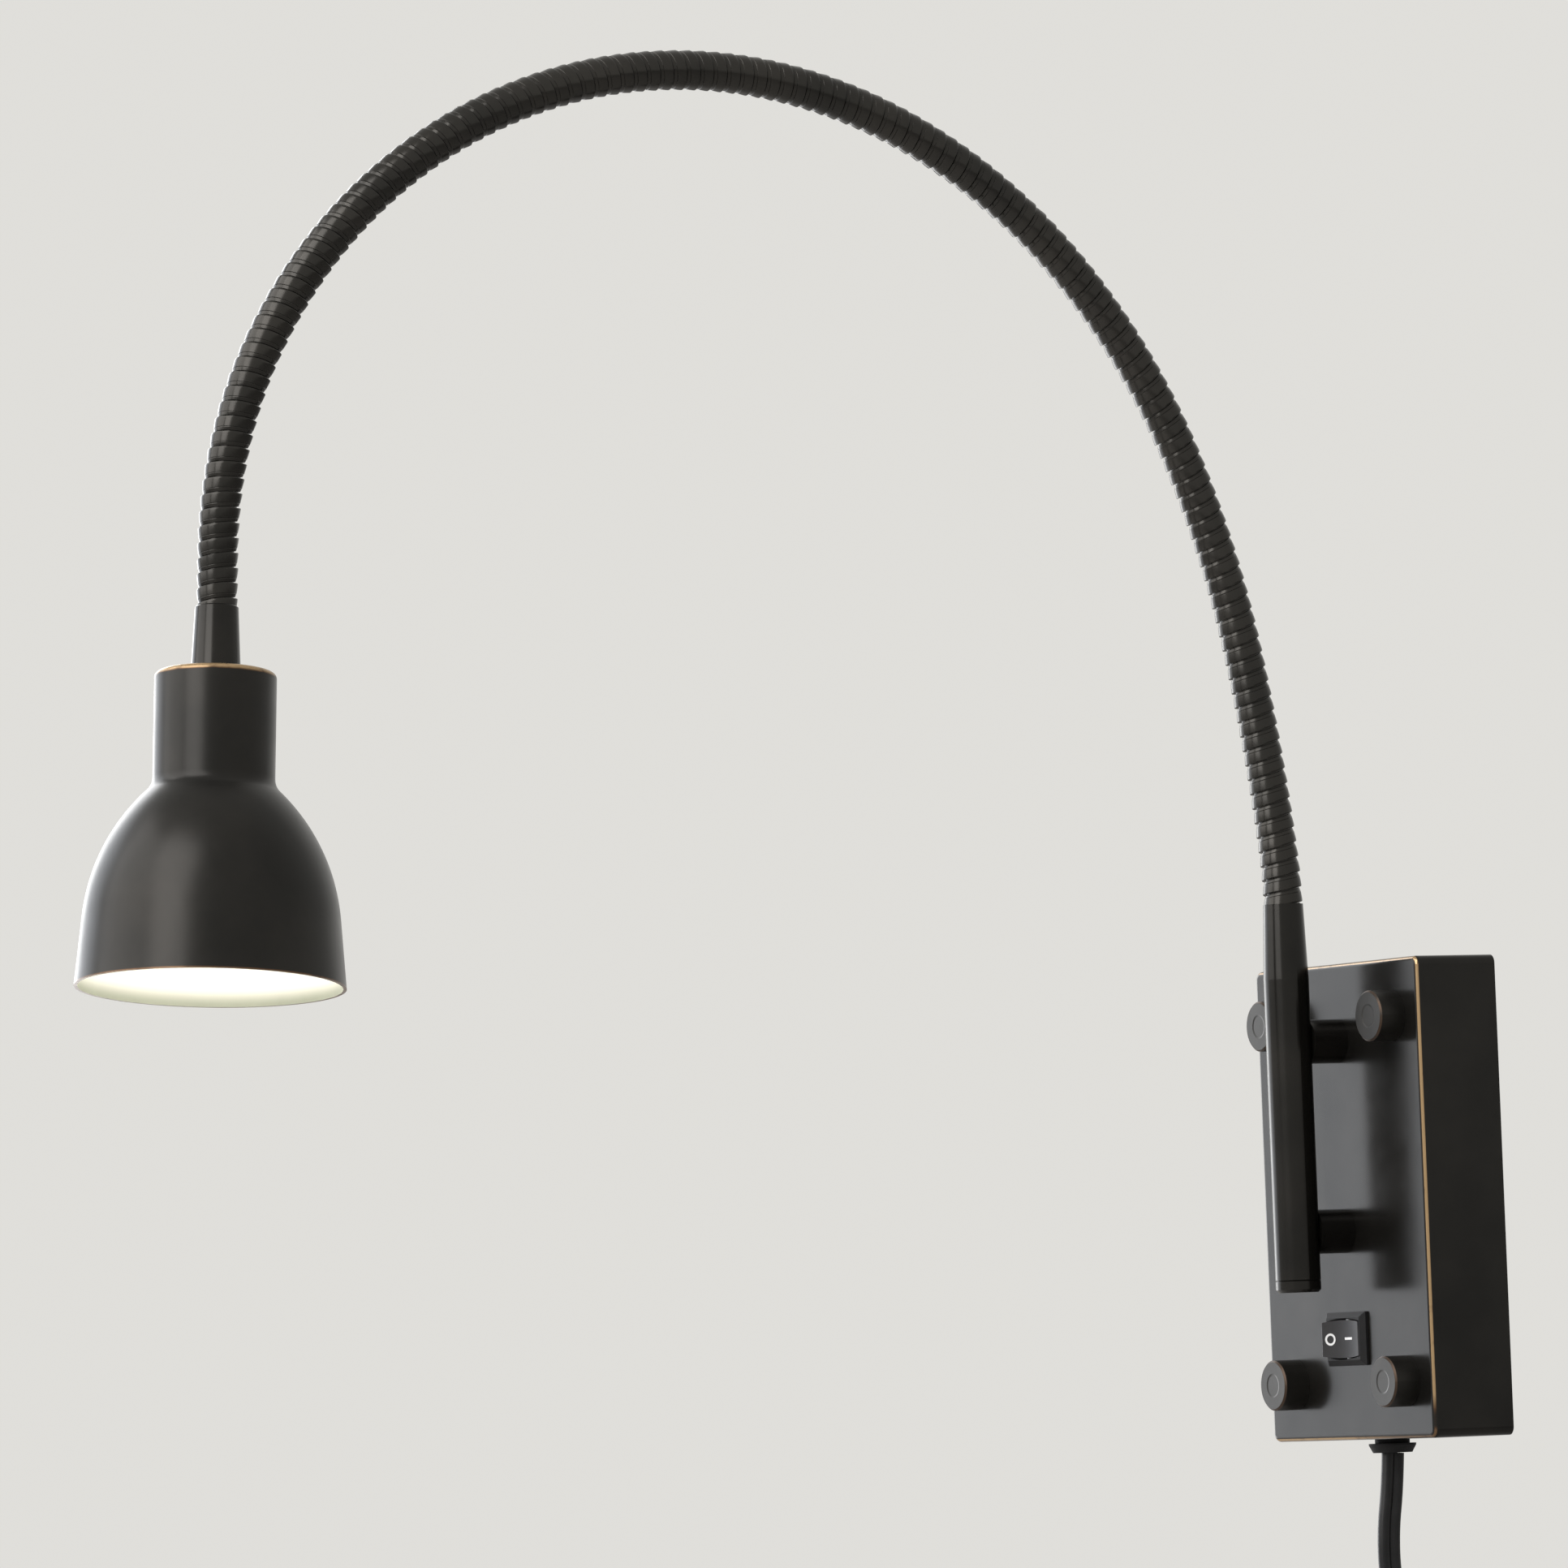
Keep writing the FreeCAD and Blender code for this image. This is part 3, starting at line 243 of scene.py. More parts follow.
turn_outwards(mains_cord)
smooth(mains_cord, 50)
print("helpers ready")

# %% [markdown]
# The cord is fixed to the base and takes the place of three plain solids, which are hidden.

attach(mains_cord, "base")
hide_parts("cord_lead", "cord_coil", "cord_tail")

# %% [markdown]
# ## Gooseneck
# The neck is a steel strip wound round and round a spring, so its surface is one long screw: a wide band
# that flares towards the wall end and stops at a sharp lip, a dark gap under the lip, and a narrow band
# that flares the same way. A Screw modifier turns one pitch of that profile into the whole straight hose.
# The hose is cut at the middle of each link while it is still straight, and a Curve modifier lays every
# length along the same centreline, so the cuts meet exactly.

# %% Profile of one turn of the strip, as radius and height in millimetres
pitch = 0.00413
wide_band = [(4.4, 0.0), (5.42, 0.05), (5.5, 0.16), (5.47, 0.6), (5.37, 1.5), (5.24, 2.4), (5.18, 2.74)]
narrow_band = [(5.05, 2.83), (5.08, 2.92), (5.05, 3.05), (4.82, 3.74)]
dark_gap = [(4.4, 3.79), (4.4, 4.13)]
strip = wide_band + narrow_band + dark_gap

def drawn_line(name, points):
    """One vertex, extruded from point to point."""
    deselect()
    bpy.ops.mesh.primitive_plane_add(size=0.002, location=(0, 0, 0))
    piece = bpy.context.object
    piece.name = name
    bpy.ops.object.mode_set(mode="EDIT")
    bpy.ops.mesh.select_all(action="SELECT")
    bpy.ops.mesh.merge(type="CENTER")
    bpy.ops.transform.translate(value=points[0])
    for a, b in zip(points, points[1:]):
        bpy.ops.mesh.extrude_region_move(TRANSFORM_OT_translate={"value": Vector(b) - Vector(a)})
    bpy.ops.object.mode_set(mode="OBJECT")
    return piece

hose = drawn_line("hose", [(r * 0.001, 0.0, z * 0.001) for r, z in strip])
print("profile vertices:", len(hose.data.vertices))

# %% [markdown]
# The CAD neck has a stub at each end and nine links between ten joints. The hose takes its lengths from
# them: so many turns, less the gap after the last one, and half the play of the joint at each end. It is
# wound a little too long at both ends, so that every cut goes through whole turns.

# %% Wind the straight hose
half_play = 0.00105
open_gap = 0.00124
stub = 3 * pitch + half_play
link = 14 * pitch - open_gap + 2 * half_play
link_bends = [5.7, 12.1, 17.7, 20.4, 21.9, 22.7, 22.1, 23.1, 26.2]
hose_length = 2 * stub + len(link_bends) * link
early_start = 1.5 * pitch
spare_turns = 4
steps_per_turn = 28
winding = hose.modifiers.new("winding", "SCREW")
winding.angle = 2 * math.pi
winding.screw_offset = pitch
winding.iterations = int(hose_length / pitch) + spare_turns
winding.steps = steps_per_turn
winding.render_steps = steps_per_turn
winding.use_merge_vertices = True
winding.merge_threshold = 1e-6
finish_modifiers(hose)
work_on(hose)
bpy.ops.transform.translate(value=(0, 0, -early_start))
bpy.ops.object.transform_apply(location=True, rotation=True, scale=True)
print("hose faces:", len(hose.data.polygons), "length", round(hose_length, 4))

# %% [markdown]
# The centreline is one Bezier path with a point at every joint. Two handles of 4/3 tan(bend / 4) radii turn
# a stretch into an arc, so the path follows the links, and at the last joint it leans gently into the
# shade.

# %% Knots of the centreline
def neck_direction(angle):
    """Direction of the neck when it has leant forward by an angle."""
    return Vector((0, -math.sin(angle), math.cos(angle)))

neck_start = mm(0, -41.1, 83.6)
root_bend = 6.1
mouth_direction = Vector((0.076, -0.090, -0.993))
stretches = [(stub, root_bend)] + [(link, bend) for bend in link_bends]
place = neck_start.copy()
angle = 0.0
knots = []
for stretch, degrees in stretches:
    bend = math.radians(degrees)
    radius = stretch / bend
    knots.append((place.copy(), neck_direction(angle), 4.0 / 3.0 * math.tan(bend / 4.0) * radius))
    after = angle + bend
    place += Vector((0, radius * (math.cos(after) - math.cos(angle)),
                     radius * (math.sin(after) - math.sin(angle))))
    angle = after
head_up = -mouth_direction.normalized()
last_joint = joints["neck_bend_10"]
print("last joint is off by", round((place - last_joint).length * 1000, 4), "mm")
knots.append((last_joint, (neck_direction(angle) - head_up).normalized(), stub / 3.0))
knots.append((last_joint - head_up * stub, -head_up, stub / 3.0))

# %% Bezier path through the knots
path_curve = bpy.data.curves.new("neck_path", "CURVE")
path_curve.dimensions = "3D"
path_curve.twist_mode = "MINIMUM"
path_curve.resolution_u = 32
bezier = path_curve.splines.new("BEZIER")
bezier.bezier_points.add(len(knots) - 1)
for i, (point, (place, direction, handle)) in enumerate(zip(bezier.bezier_points, knots)):
    handle_before = knots[max(i - 1, 0)][2]
    point.co = place
    point.handle_left_type = "FREE"
    point.handle_right_type = "FREE"
    point.handle_left = place - direction * handle_before
    point.handle_right = place + direction * handle
neck_path = bpy.data.objects.new("neck_path", path_curve)
bpy.context.scene.collection.objects.link(neck_path)
print("centreline length:", round(bezier.calc_length(), 4))

# %% [markdown]
# Each length is cut from its own copy of the straight hose, from the middle of one link to the middle of the
# next, with its joint between.

# %% Helpers for cutting and copying
def cut_between(piece, low, high):
    """Keeps the part between two heights and closes both cuts."""
    work_on(piece)
    bpy.ops.object.mode_set(mode="EDIT")
    bpy.ops.mesh.select_all(action="SELECT")
    bpy.ops.mesh.bisect(plane_co=(0, 0, low), plane_no=(0, 0, 1), use_fill=True, clear_inner=True)
    bpy.ops.mesh.select_all(action="SELECT")
    bpy.ops.mesh.bisect(plane_co=(0, 0, high), plane_no=(0, 0, 1), use_fill=True, clear_outer=True)
    bpy.ops.object.mode_set(mode="OBJECT")

def copy_of(piece, name):
    """Another object with its own mesh."""
    other = piece.copy()
    other.data = piece.data.copy()
    other.name = name
    bpy.context.scene.collection.objects.link(other)
    return other

print("vertices to copy for each length:", len(hose.data.vertices))

# %% Cut the straight hose and bend every length
joint_names = ["neck_bend_1", "neck_bend_2", "neck_sway_3", "neck_bend_4", "neck_bend_5", "neck_sway_6",
               "neck_bend_7", "neck_bend_8", "neck_sway_9", "neck_bend_10"]
nodes_along = ["neck_root"] + ["neck_link_%d" % i for i in range(1, 10)] + ["neck_tip"]
cuts = [0.0] + [stub + (i + 0.5) * link for i in range(len(link_bends))] + [hose_length]
hoses = []
for i, joint_name in enumerate(joint_names):
    piece = copy_of(hose, "hose_%d" % (i + 1))
    cut_between(piece, cuts[i], cuts[i + 1])
    bend = piece.modifiers.new("bend", "CURVE")
    bend.object = neck_path
    bend.deform_axis = "POS_Z"
    finish_modifiers(piece)
    turn_outwards(piece)
    smooth(piece, 40)
    direction = knots[i + 1][1]
    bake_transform(piece)
    hoses.append(piece)
bpy.data.objects.remove(hose)
bpy.data.objects.remove(neck_path)
for piece, node in zip(hoses, nodes_along):
    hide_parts(node)
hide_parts(nodes_along[-1])
print("lengths of hose:", len(hoses), "faces each about", len(hoses[4].data.polygons))

# %% [markdown]
# ## Shade
# The bell is spun from one disc of sheet: straight skirt, one long curve, a small hollow curve into a short
# neck, and a narrow rounded shoulder. Here one line of points is spun the same way, outside first and then
# back down inside, so the wall keeps its thickness. It is made upright at the origin and then set on the
# leaning end of the neck.

# %% Sizes of the bell, in millimetres
shade_height = 84.5
shade_wall = 0.9
rim_r = 36.0
skirt_height = 18.5
skirt_slope = math.radians(5.5)
curve_r = 54.0
fillet_r = 5.0
neck_r = 16.25
shoulder_r = 1.6
hole_r = 4.6
sleeve_length = 17.8

# %% Outline of the bell
def arc(centre, radius, first, last, count):
    """Points of an arc from the first angle to the last, both included."""
    points = []
    for i in range(count + 1):
        a = first + (last - first) * i / count
        points.append((centre[0] + radius * math.cos(a), centre[1] + radius * math.sin(a)))
    return points

def bell_outline(inset):
    """Points from the rim to the flat top, moved inwards by inset."""
    centre = (rim_r - skirt_height * math.tan(skirt_slope) - curve_r * math.cos(skirt_slope),
              skirt_height - curve_r * math.sin(skirt_slope))
    hollow_r = neck_r + fillet_r
    hollow = (hollow_r, centre[1] + math.sqrt((curve_r + fillet_r) ** 2 - (hollow_r - centre[0]) ** 2))
    end = math.atan2(hollow[1] - centre[1], hollow[0] - centre[0])
    rim = [(rim_r - inset / math.cos(skirt_slope), 0.0)]
    long_curve = arc(centre, curve_r - inset, skirt_slope, end, 22)
    hollow_curve = arc(hollow, fillet_r + inset, end + math.pi, math.pi, 6)
    corner = (neck_r - shoulder_r, shade_height - shoulder_r)
    shoulder = arc(corner, shoulder_r - inset, 0.0, math.pi / 2.0, 6)
    return rim + long_curve + hollow_curve[1:] + shoulder

outside = bell_outline(0.0)
inside = bell_outline(shade_wall)
hole = [(hole_r, shade_height), (hole_r, shade_height - shade_wall)]
loop = outside + hole + inside[::-1] + [outside[0]]
print("points round the wall:", len(loop))

# %% Spin the bell
bell = drawn_line("bell_shade", [(r * 0.001, 0.0, z * 0.001) for r, z in loop])

def spin(piece, steps):
    """Full turn about the upright axis through the origin."""
    work_on(piece)
    bpy.ops.object.mode_set(mode="EDIT")
    bpy.ops.mesh.select_all(action="SELECT")
    bpy.ops.mesh.spin(steps=steps, angle=2 * math.pi, center=(0, 0, 0), axis=(0, 0, 1))
    bpy.ops.mesh.select_all(action="SELECT")
    bpy.ops.mesh.remove_doubles(threshold=2e-6)
    bpy.ops.object.mode_set(mode="OBJECT")
    turn_outwards(piece)

spin(bell, steps=128)
smooth(bell, 30)
print("bell faces:", len(bell.data.polygons))

# %% Set the bell on the head
head_base = last_joint - head_up * ((shade_height + sleeve_length) * 0.001 + stub)
lean = Vector((0, 0, 1)).rotation_difference(head_up).to_matrix().to_4x4()
to_head = Matrix.Translation(head_base) @ lean

def settle(piece, matrix):
    """Moves a finished piece and puts the move into its mesh."""
    piece.matrix_world = matrix @ piece.matrix_world
    work_on(piece)
    bpy.ops.object.transform_apply(location=True, rotation=True, scale=True)

settle(bell, to_head)
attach(bell, "head")
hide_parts("shade")
print("rim centre of the shade:", [round(v * 1000, 1) for v in head_base])

# %% [markdown]
# ## Marks on the rocker
# The button carries a white ring and a white dash, both printed. Each is modelled as a thin flat piece,
# pressed on the hollow face by a Shrinkwrap modifier, so it follows the curve and tilts with the button.

# %% Sizes of the marks
rocker = frame["nodes"]["switch_rocker"]
ink_height = 0.00006
upright = (math.pi / 2, 0, 0)
ring_centre = (-0.00375, -0.034, -0.0384)
ring_r = 0.0017
ring_hole = 0.64
dash_centre = (0.0032, -0.034, -0.0383)
dash_size = (0.0033, 0.00068, 1.0)
print("ring", ring_r * 2000, "mm across")

# %% Ring and dash
def print_on_rocker(piece):
    """Lays a flat mark on the button's hollow face and lets it move with the button."""
    wrap = piece.modifiers.new("wrap", "SHRINKWRAP")
    wrap.target = rocker
    wrap.wrap_method = "PROJECT"
    wrap.use_project_y = True
    wrap.use_positive_direction = True
    wrap.use_negative_direction = True
    wrap.offset = ink_height
    finish_modifiers(piece)
    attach(piece, "rocker")

deselect()
bpy.ops.mesh.primitive_circle_add(vertices=48, radius=ring_r, location=ring_centre, rotation=upright)
ring = bpy.context.object
ring.name = "mark_ring"
bpy.ops.object.transform_apply(location=True, rotation=True, scale=True)
bpy.ops.object.mode_set(mode="EDIT")
bpy.ops.mesh.select_all(action="SELECT")
bpy.ops.mesh.extrude_edges_move()
bpy.ops.transform.resize(value=(ring_hole, 1.0, ring_hole), center_override=ring_centre)
bpy.ops.object.mode_set(mode="OBJECT")
print_on_rocker(ring)

deselect()
bpy.ops.mesh.primitive_grid_add(x_subdivisions=6, y_subdivisions=2, size=1.0, location=dash_centre,
                                rotation=upright)
dash = bpy.context.object
dash.name = "mark_dash"
dash.scale = dash_size
bpy.ops.object.transform_apply(location=True, rotation=True, scale=True)
print_on_rocker(dash)
print("marks:", len(ring.data.polygons), len(dash.data.polygons))

# %% [markdown]
# ## Materials
# Oil-rubbed bronze is a dark brown, nearly black skin with a satin sheen, which wears through to copper on
# sharp edges. Small helpers keep each recipe short: one adds a node, one reads the place on the piece, and
# one turns a stretch of a coordinate into a mask. All patterns use object coordinates, in metres.

# %% Materials and nodes
def new_material(name, **values):
    """Principled material with plain values set on the shader's own sockets."""
    material = bpy.data.materials.new(name)
    material.use_nodes = True
    shader = material.node_tree.nodes["Principled BSDF"]
    for key, value in values.items():
        shader.inputs[key.replace("_", " ").title().replace("Ior", "IOR")].default_value = value
    return material

def add(material, kind, **settings):
    """A new node with its settings."""
    node = material.node_tree.nodes.new(kind)
    for key, value in settings.items():
        setattr(node, key, value)
    return node

def join(material, output, target):
    material.node_tree.links.new(output, target)

def shader_of(material):
    return material.node_tree.nodes["Principled BSDF"]

print("materials before the first recipe:", len(bpy.data.materials))

# %% Patterns, colours and relief
def noise(material, scale, detail=3.0, roughness=0.55):
    """Noise over the object's own coordinates."""
    coordinates = add(material, "ShaderNodeTexCoord")
    texture = add(material, "ShaderNodeTexNoise")
    texture.inputs["Scale"].default_value = scale
    texture.inputs["Detail"].default_value = detail
    texture.inputs["Roughness"].default_value = roughness
    join(material, coordinates.outputs["Object"], texture.inputs["Vector"])
    return texture.outputs["Fac"]

def ramp(material, value, *stops):
    """Colours along a 0 to 1 value."""
    node = add(material, "ShaderNodeValToRGB")
    while len(node.color_ramp.elements) < len(stops):
        node.color_ramp.elements.new(0.5)
    for element, (position, colour) in zip(node.color_ramp.elements, stops):
        element.position = position
        element.color = (*colour, 1.0)
    join(material, value, node.inputs["Fac"])
    return node.outputs["Color"]

def mix_colour(material, factor, a, b):
    """Colour a where the factor is 0 and b where it is 1; either may be a node's output."""
    node = add(material, "ShaderNodeMix", data_type="RGBA")
    join(material, factor, node.inputs["Factor"])
    for socket, value in ((node.inputs[6], a), (node.inputs[7], b)):
        if isinstance(value, tuple):
            socket.default_value = (*value, 1.0)
        else:
            join(material, value, socket)
    return node.outputs[2]

def bump(material, height, strength):
    """Fine relief; a strength of 1 stands for a tenth of a millimetre."""
    node = add(material, "ShaderNodeBump")
    node.inputs["Strength"].default_value = strength
    node.inputs["Distance"].default_value = 0.0001
    join(material, height, node.inputs["Height"])
    join(material, node.outputs["Normal"], shader_of(material).inputs["Normal"])

print("pattern helpers ready")

# %% Values and coordinates
def between(material, value, low, high, to_low=0.0, to_high=1.0):
    """Smooth step of a value from low to high."""
    node = add(material, "ShaderNodeMapRange", interpolation_type="SMOOTHSTEP")
    for socket, number in zip(("From Min", "From Max", "To Min", "To Max"), (low, high, to_low, to_high)):
        node.inputs[socket].default_value = number
    join(material, value, node.inputs["Value"])
    return node.outputs["Result"]

def maths(material, operation, a, b=None):
    """One sum; a and b are numbers or other nodes' outputs."""
    node = add(material, "ShaderNodeMath", operation=operation)
    for socket, value in zip(node.inputs, (a, b)):
        if value is None:
            continue
        if isinstance(value, (int, float)):
            socket.default_value = value
        else:
            join(material, value, socket)
    return node.outputs["Value"]

def axes(material):
    """Object coordinates as three separate values."""
    coordinates = add(material, "ShaderNodeTexCoord")
    split = add(material, "ShaderNodeSeparateXYZ")
    join(material, coordinates.outputs["Object"], split.inputs["Vector"])
    return split.outputs["X"], split.outputs["Y"], split.outputs["Z"]

print("value helpers ready")

# %% [markdown]
# The bronze recipe mixes two dark browns with a slow noise, breaks the sheen up with a second one and adds
# a fine powdery grain. Where a wear mask is given, its weak border is rubbed brown and its middle is bare
# copper, a little smoother than the skin.

# %% Oil-rubbed bronze
dark_brown = (0.0145, 0.0138, 0.0122)
warm_brown = (0.0220, 0.0204, 0.0178)
rubbed_brown = (0.085, 0.045, 0.023)
copper = (0.42, 0.285, 0.15)
blotch_scale = 42.0
sheen_scale = 95.0
scratch_scale = 210.0
powder_scale = 1100.0

def bronze(name, sheen, wear=None, tone=1.0, peel=0.025, wear_strength=1.0):
    """Dark bronze; sheen is the span of its roughness, tone its lightness and peel its fine relief."""
    material = new_material(name, metallic=0.6, specular_ior_level=0.35)
    shader = shader_of(material)
    dark, warm = [tuple(tone * part for part in colour) for colour in (dark_brown, warm_brown)]
    base = ramp(material, noise(material, blotch_scale, 4.0), (0.35, dark), (0.7, warm))
    satin = between(material, noise(material, sheen_scale, 3.0), 0.3, 0.7, *sheen)
    if wear:
        scratches = between(material, noise(material, scratch_scale, 3.0, 0.6), 0.25, 0.5, 0.55, 1.0)
        mask = maths(material, "MULTIPLY", wear(material), scratches)
        mask = maths(material, "MULTIPLY", mask, wear_strength)
        worn = ramp(material, mask, (0.2, rubbed_brown), (0.72, copper))
        base = mix_colour(material, between(material, mask, 0.04, 0.25), base, worn)
        satin = maths(material, "SUBTRACT", satin, maths(material, "MULTIPLY", mask, 0.05))
    join(material, base, shader.inputs["Base Color"])
    join(material, satin, shader.inputs["Roughness"])
    bump(material, noise(material, powder_scale, 2.0), peel)
    return material

# %% [markdown]
# Wear shows where hands and cloths rub: along the front edge of the box, round the bevels of the nuts and
# on the bell's shoulder. Each mask finds such an edge by numbers worked out from the coordinates. The box's
# front edge is a rounded rectangle, and there the way out from that shape and the way forward from the wall
# add up to more than anywhere else on the box.

# %% Sums that the masks share
def negative(material, value):
    """The same value with its sign turned."""
    return maths(material, "MULTIPLY", value, -1.0)

def outside_of(material, value, half):
    """How far a coordinate lies beyond plus or minus half."""
    return maths(material, "SUBTRACT", maths(material, "ABSOLUTE", value), half)

def distance(material, a, b):
    """Length of the slope between two distances at right angles."""
    squares = maths(material, "ADD", maths(material, "POWER", a, 2.0), maths(material, "POWER", b, 2.0))
    return maths(material, "SQRT", squares)

print("sums ready")

# %% Wear mask of the box
corner_x, corner_z = 0.0421, 0.0643
edge_reach = (0.02677, 0.02688)
side_span = (0.0405, 0.0432)
end_span = (0.0625, 0.0650)
left_share, low_share, high_share = 0.4, 0.85, 0.5
right_fade = (-0.0610, -0.0510, 0.08, 1.0)
low_fade = (-0.010, 0.025, 1.0, 0.35)

def box_edges(material):
    """A line along the box's rounded front edge, strong at the right and below, faint on top and left."""
    x, y, z = axes(material)
    over_x = outside_of(material, x, corner_x)
    over_z = outside_of(material, z, corner_z)
    beyond_x = maths(material, "MAXIMUM", over_x, 0.0)
    beyond_z = maths(material, "MAXIMUM", over_z, 0.0)
    beyond = distance(material, beyond_x, beyond_z)
    inner = maths(material, "MINIMUM", maths(material, "MAXIMUM", over_x, over_z), 0.0)
    reach = maths(material, "SUBTRACT", maths(material, "ADD", beyond, inner), y)
    edge = between(material, reach, *edge_reach)
    right = between(material, x, *side_span)
    left = between(material, negative(material, x), *side_span, 0.0, left_share)
    low = between(material, negative(material, z), *end_span, 0.0, low_share)
    high = between(material, z, *end_span, 0.0, high_share)
    right = maths(material, "MULTIPLY", right, between(material, z, *right_fade))
    low = maths(material, "MULTIPLY", low, between(material, x, *low_fade))
    sides = maths(material, "MAXIMUM", right, left)
    ends = maths(material, "MAXIMUM", low, high)
    return maths(material, "MULTIPLY", edge, maths(material, "MAXIMUM", sides, ends))

print("box mask follows the edge from", edge_reach[0], "to", edge_reach[1], "m")

# %% [markdown]
# The four nuts stand evenly about the middle of the box. With the sign taken off both coordinates they all
# fall on one place, so a single ring round that place marks the bevels of all four.

# %% Wear mask of the nuts
nut_x, nut_z = 0.0302, 0.0507
bevel_radii = (0.00635, 0.00675)
bevel_depth = (0.0323, 0.0327)

def nut_bevels(material):
    """Rings at the bevels of the four cap nuts."""
    x, y, z = axes(material)
    radius = distance(material, outside_of(material, x, nut_x), outside_of(material, z, nut_z))
    ring = between(material, radius, *bevel_radii)
    front = between(material, negative(material, y), *bevel_depth)
    return maths(material, "MULTIPLY", ring, front)

print("nuts at", nut_x, nut_z, "m from the middle")

# %% [markdown]
# The bell leans, so its mask and its paint can't read one coordinate. The height above the rim is the part
# of the place that lies along the head, and what is left of the distance is the way out from its axis.

# %% Wear mask of the bell
shoulder_heights = (0.0826, 0.0838)
shoulder_radii = (0.0118, 0.0138)
rim_depth = (-0.0007, -0.0001)
rim_share = 0.35

def along_head(material):
    """Height above the rim and distance from the axis of the leaning shade."""
    coordinates = add(material, "ShaderNodeTexCoord")
    shift = add(material, "ShaderNodeVectorMath", operation="SUBTRACT")
    shift.inputs[1].default_value = head_base
    join(material, coordinates.outputs["Object"], shift.inputs[0])
    dot = add(material, "ShaderNodeVectorMath", operation="DOT_PRODUCT")
    dot.inputs[1].default_value = head_up
    join(material, shift.outputs["Vector"], dot.inputs[0])
    size = add(material, "ShaderNodeVectorMath", operation="LENGTH")
    join(material, shift.outputs["Vector"], size.inputs[0])
    height = dot.outputs["Value"]
    squares = maths(material, "SUBTRACT", maths(material, "POWER", size.outputs["Value"], 2.0),
                    maths(material, "POWER", height, 2.0))
    return height, maths(material, "SQRT", maths(material, "MAXIMUM", squares, 0.0))

def bell_edges(material):
    """Copper shows round the top of the bell's neck and thinly at its rim."""
    height, radius = along_head(material)
    top = between(material, height, *shoulder_heights)
    outer = between(material, radius, *shoulder_radii)
    rim = between(material, negative(material, height), *rim_depth)
    return maths(material, "MAXIMUM", maths(material, "MULTIPLY", top, outer),
                 maths(material, "MULTIPLY", rim, rim_share))

# %% Five bronze finishes
bronze_box = bronze("bronze_box", (0.18, 0.22), box_edges, peel=0.03)
bronze_nuts = bronze("bronze_nuts", (0.36, 0.42), nut_bevels, tone=1.3, peel=0.06, wear_strength=0.14)
bronze_plain = bronze("bronze_plain", (0.17, 0.21))
bronze_neck = bronze("bronze_neck", (0.20, 0.25), tone=1.8, peel=0.004)
bronze_bell = bronze("bronze_bell", (0.28, 0.32), bell_edges, wear_strength=0.8)
bronzes = (bronze_box, bronze_nuts, bronze_plain, bronze_neck, bronze_bell)
print("bronze finishes:", [material.name for material in bronzes])

# %% [markdown]
# ## Other finishes
# The bell is pale inside, with painted shade that turns it greenish grey towards the rim. The lamp's face
# glows, plastic is black with a fine moulded grain, and the hidden fasteners are zinc plated. Most of these
# need no
# mask, so one recipe makes them all: two colours close to each other, a roughness and a grain.

# %% Plastics, metals and ceramic
def speckled(name, colour, other, scale, rough, grain, strength, **values):
    """Plain finish in two near colours; scale and grain are the noises of colour and relief."""
    material = new_material(name, roughness=rough, **values)
    base = ramp(material, noise(material, scale, 3.0), (0.35, colour), (0.68, other))
    join(material, base, shader_of(material).inputs["Base Color"])
    bump(material, noise(material, grain, 2.0), strength)
    return material

black_matte = speckled("black_matte", (0.012, 0.012, 0.0125), (0.017, 0.017, 0.0175), 120.0, 0.62, 2400.0,
                       0.12, specular_ior_level=0.15)
black_satin = speckled("black_satin", (0.014, 0.0135, 0.0145), (0.019, 0.0185, 0.0195), 150.0, 0.44, 2600.0,
                       0.08, specular_ior_level=0.3)
cord_vinyl = speckled("cord_vinyl", (0.010, 0.010, 0.0105), (0.016, 0.016, 0.0165), 180.0, 0.34, 1600.0,
                      0.10, specular_ior_level=0.25)
print_white = speckled("print_white", (0.80, 0.80, 0.79), (0.72, 0.72, 0.71), 900.0, 0.5, 3000.0, 0.04)
zinc = speckled("zinc", (0.56, 0.57, 0.57), (0.44, 0.45, 0.46), 75.0, 0.36, 700.0, 0.10, metallic=1.0)
brass = speckled("brass", (0.66, 0.50, 0.24), (0.54, 0.39, 0.17), 90.0, 0.3, 800.0, 0.08, metallic=1.0)
core_vinyl = speckled("core_vinyl", (0.02, 0.02, 0.02), (0.03, 0.03, 0.03), 200.0, 0.4, 1500.0, 0.08)
pale_vinyl = speckled("pale_vinyl", (0.66, 0.65, 0.62), (0.58, 0.57, 0.54), 200.0, 0.42, 1500.0, 0.08)
ceramic = speckled("ceramic", (0.78, 0.75, 0.69), (0.70, 0.67, 0.61), 140.0, 0.55, 1800.0, 0.16)
lamp_gloss = speckled("lamp_gloss", (0.80, 0.80, 0.79), (0.76, 0.76, 0.75), 60.0, 0.22, 900.0, 0.03)
print("plain finishes made")

# %% Pale coat inside the bell, with painted shade towards its rim
rim_shade_grey = (0.34, 0.36, 0.30)
rim_shade_darker = (0.30, 0.32, 0.265)
inside_white = (0.78, 0.78, 0.74)
painted_shade_span = (0.0003, 0.0055)
pale_paint_and_shade = new_material("pale_paint_and_shade", roughness=0.42)
above_rim = along_head(pale_paint_and_shade)[0]
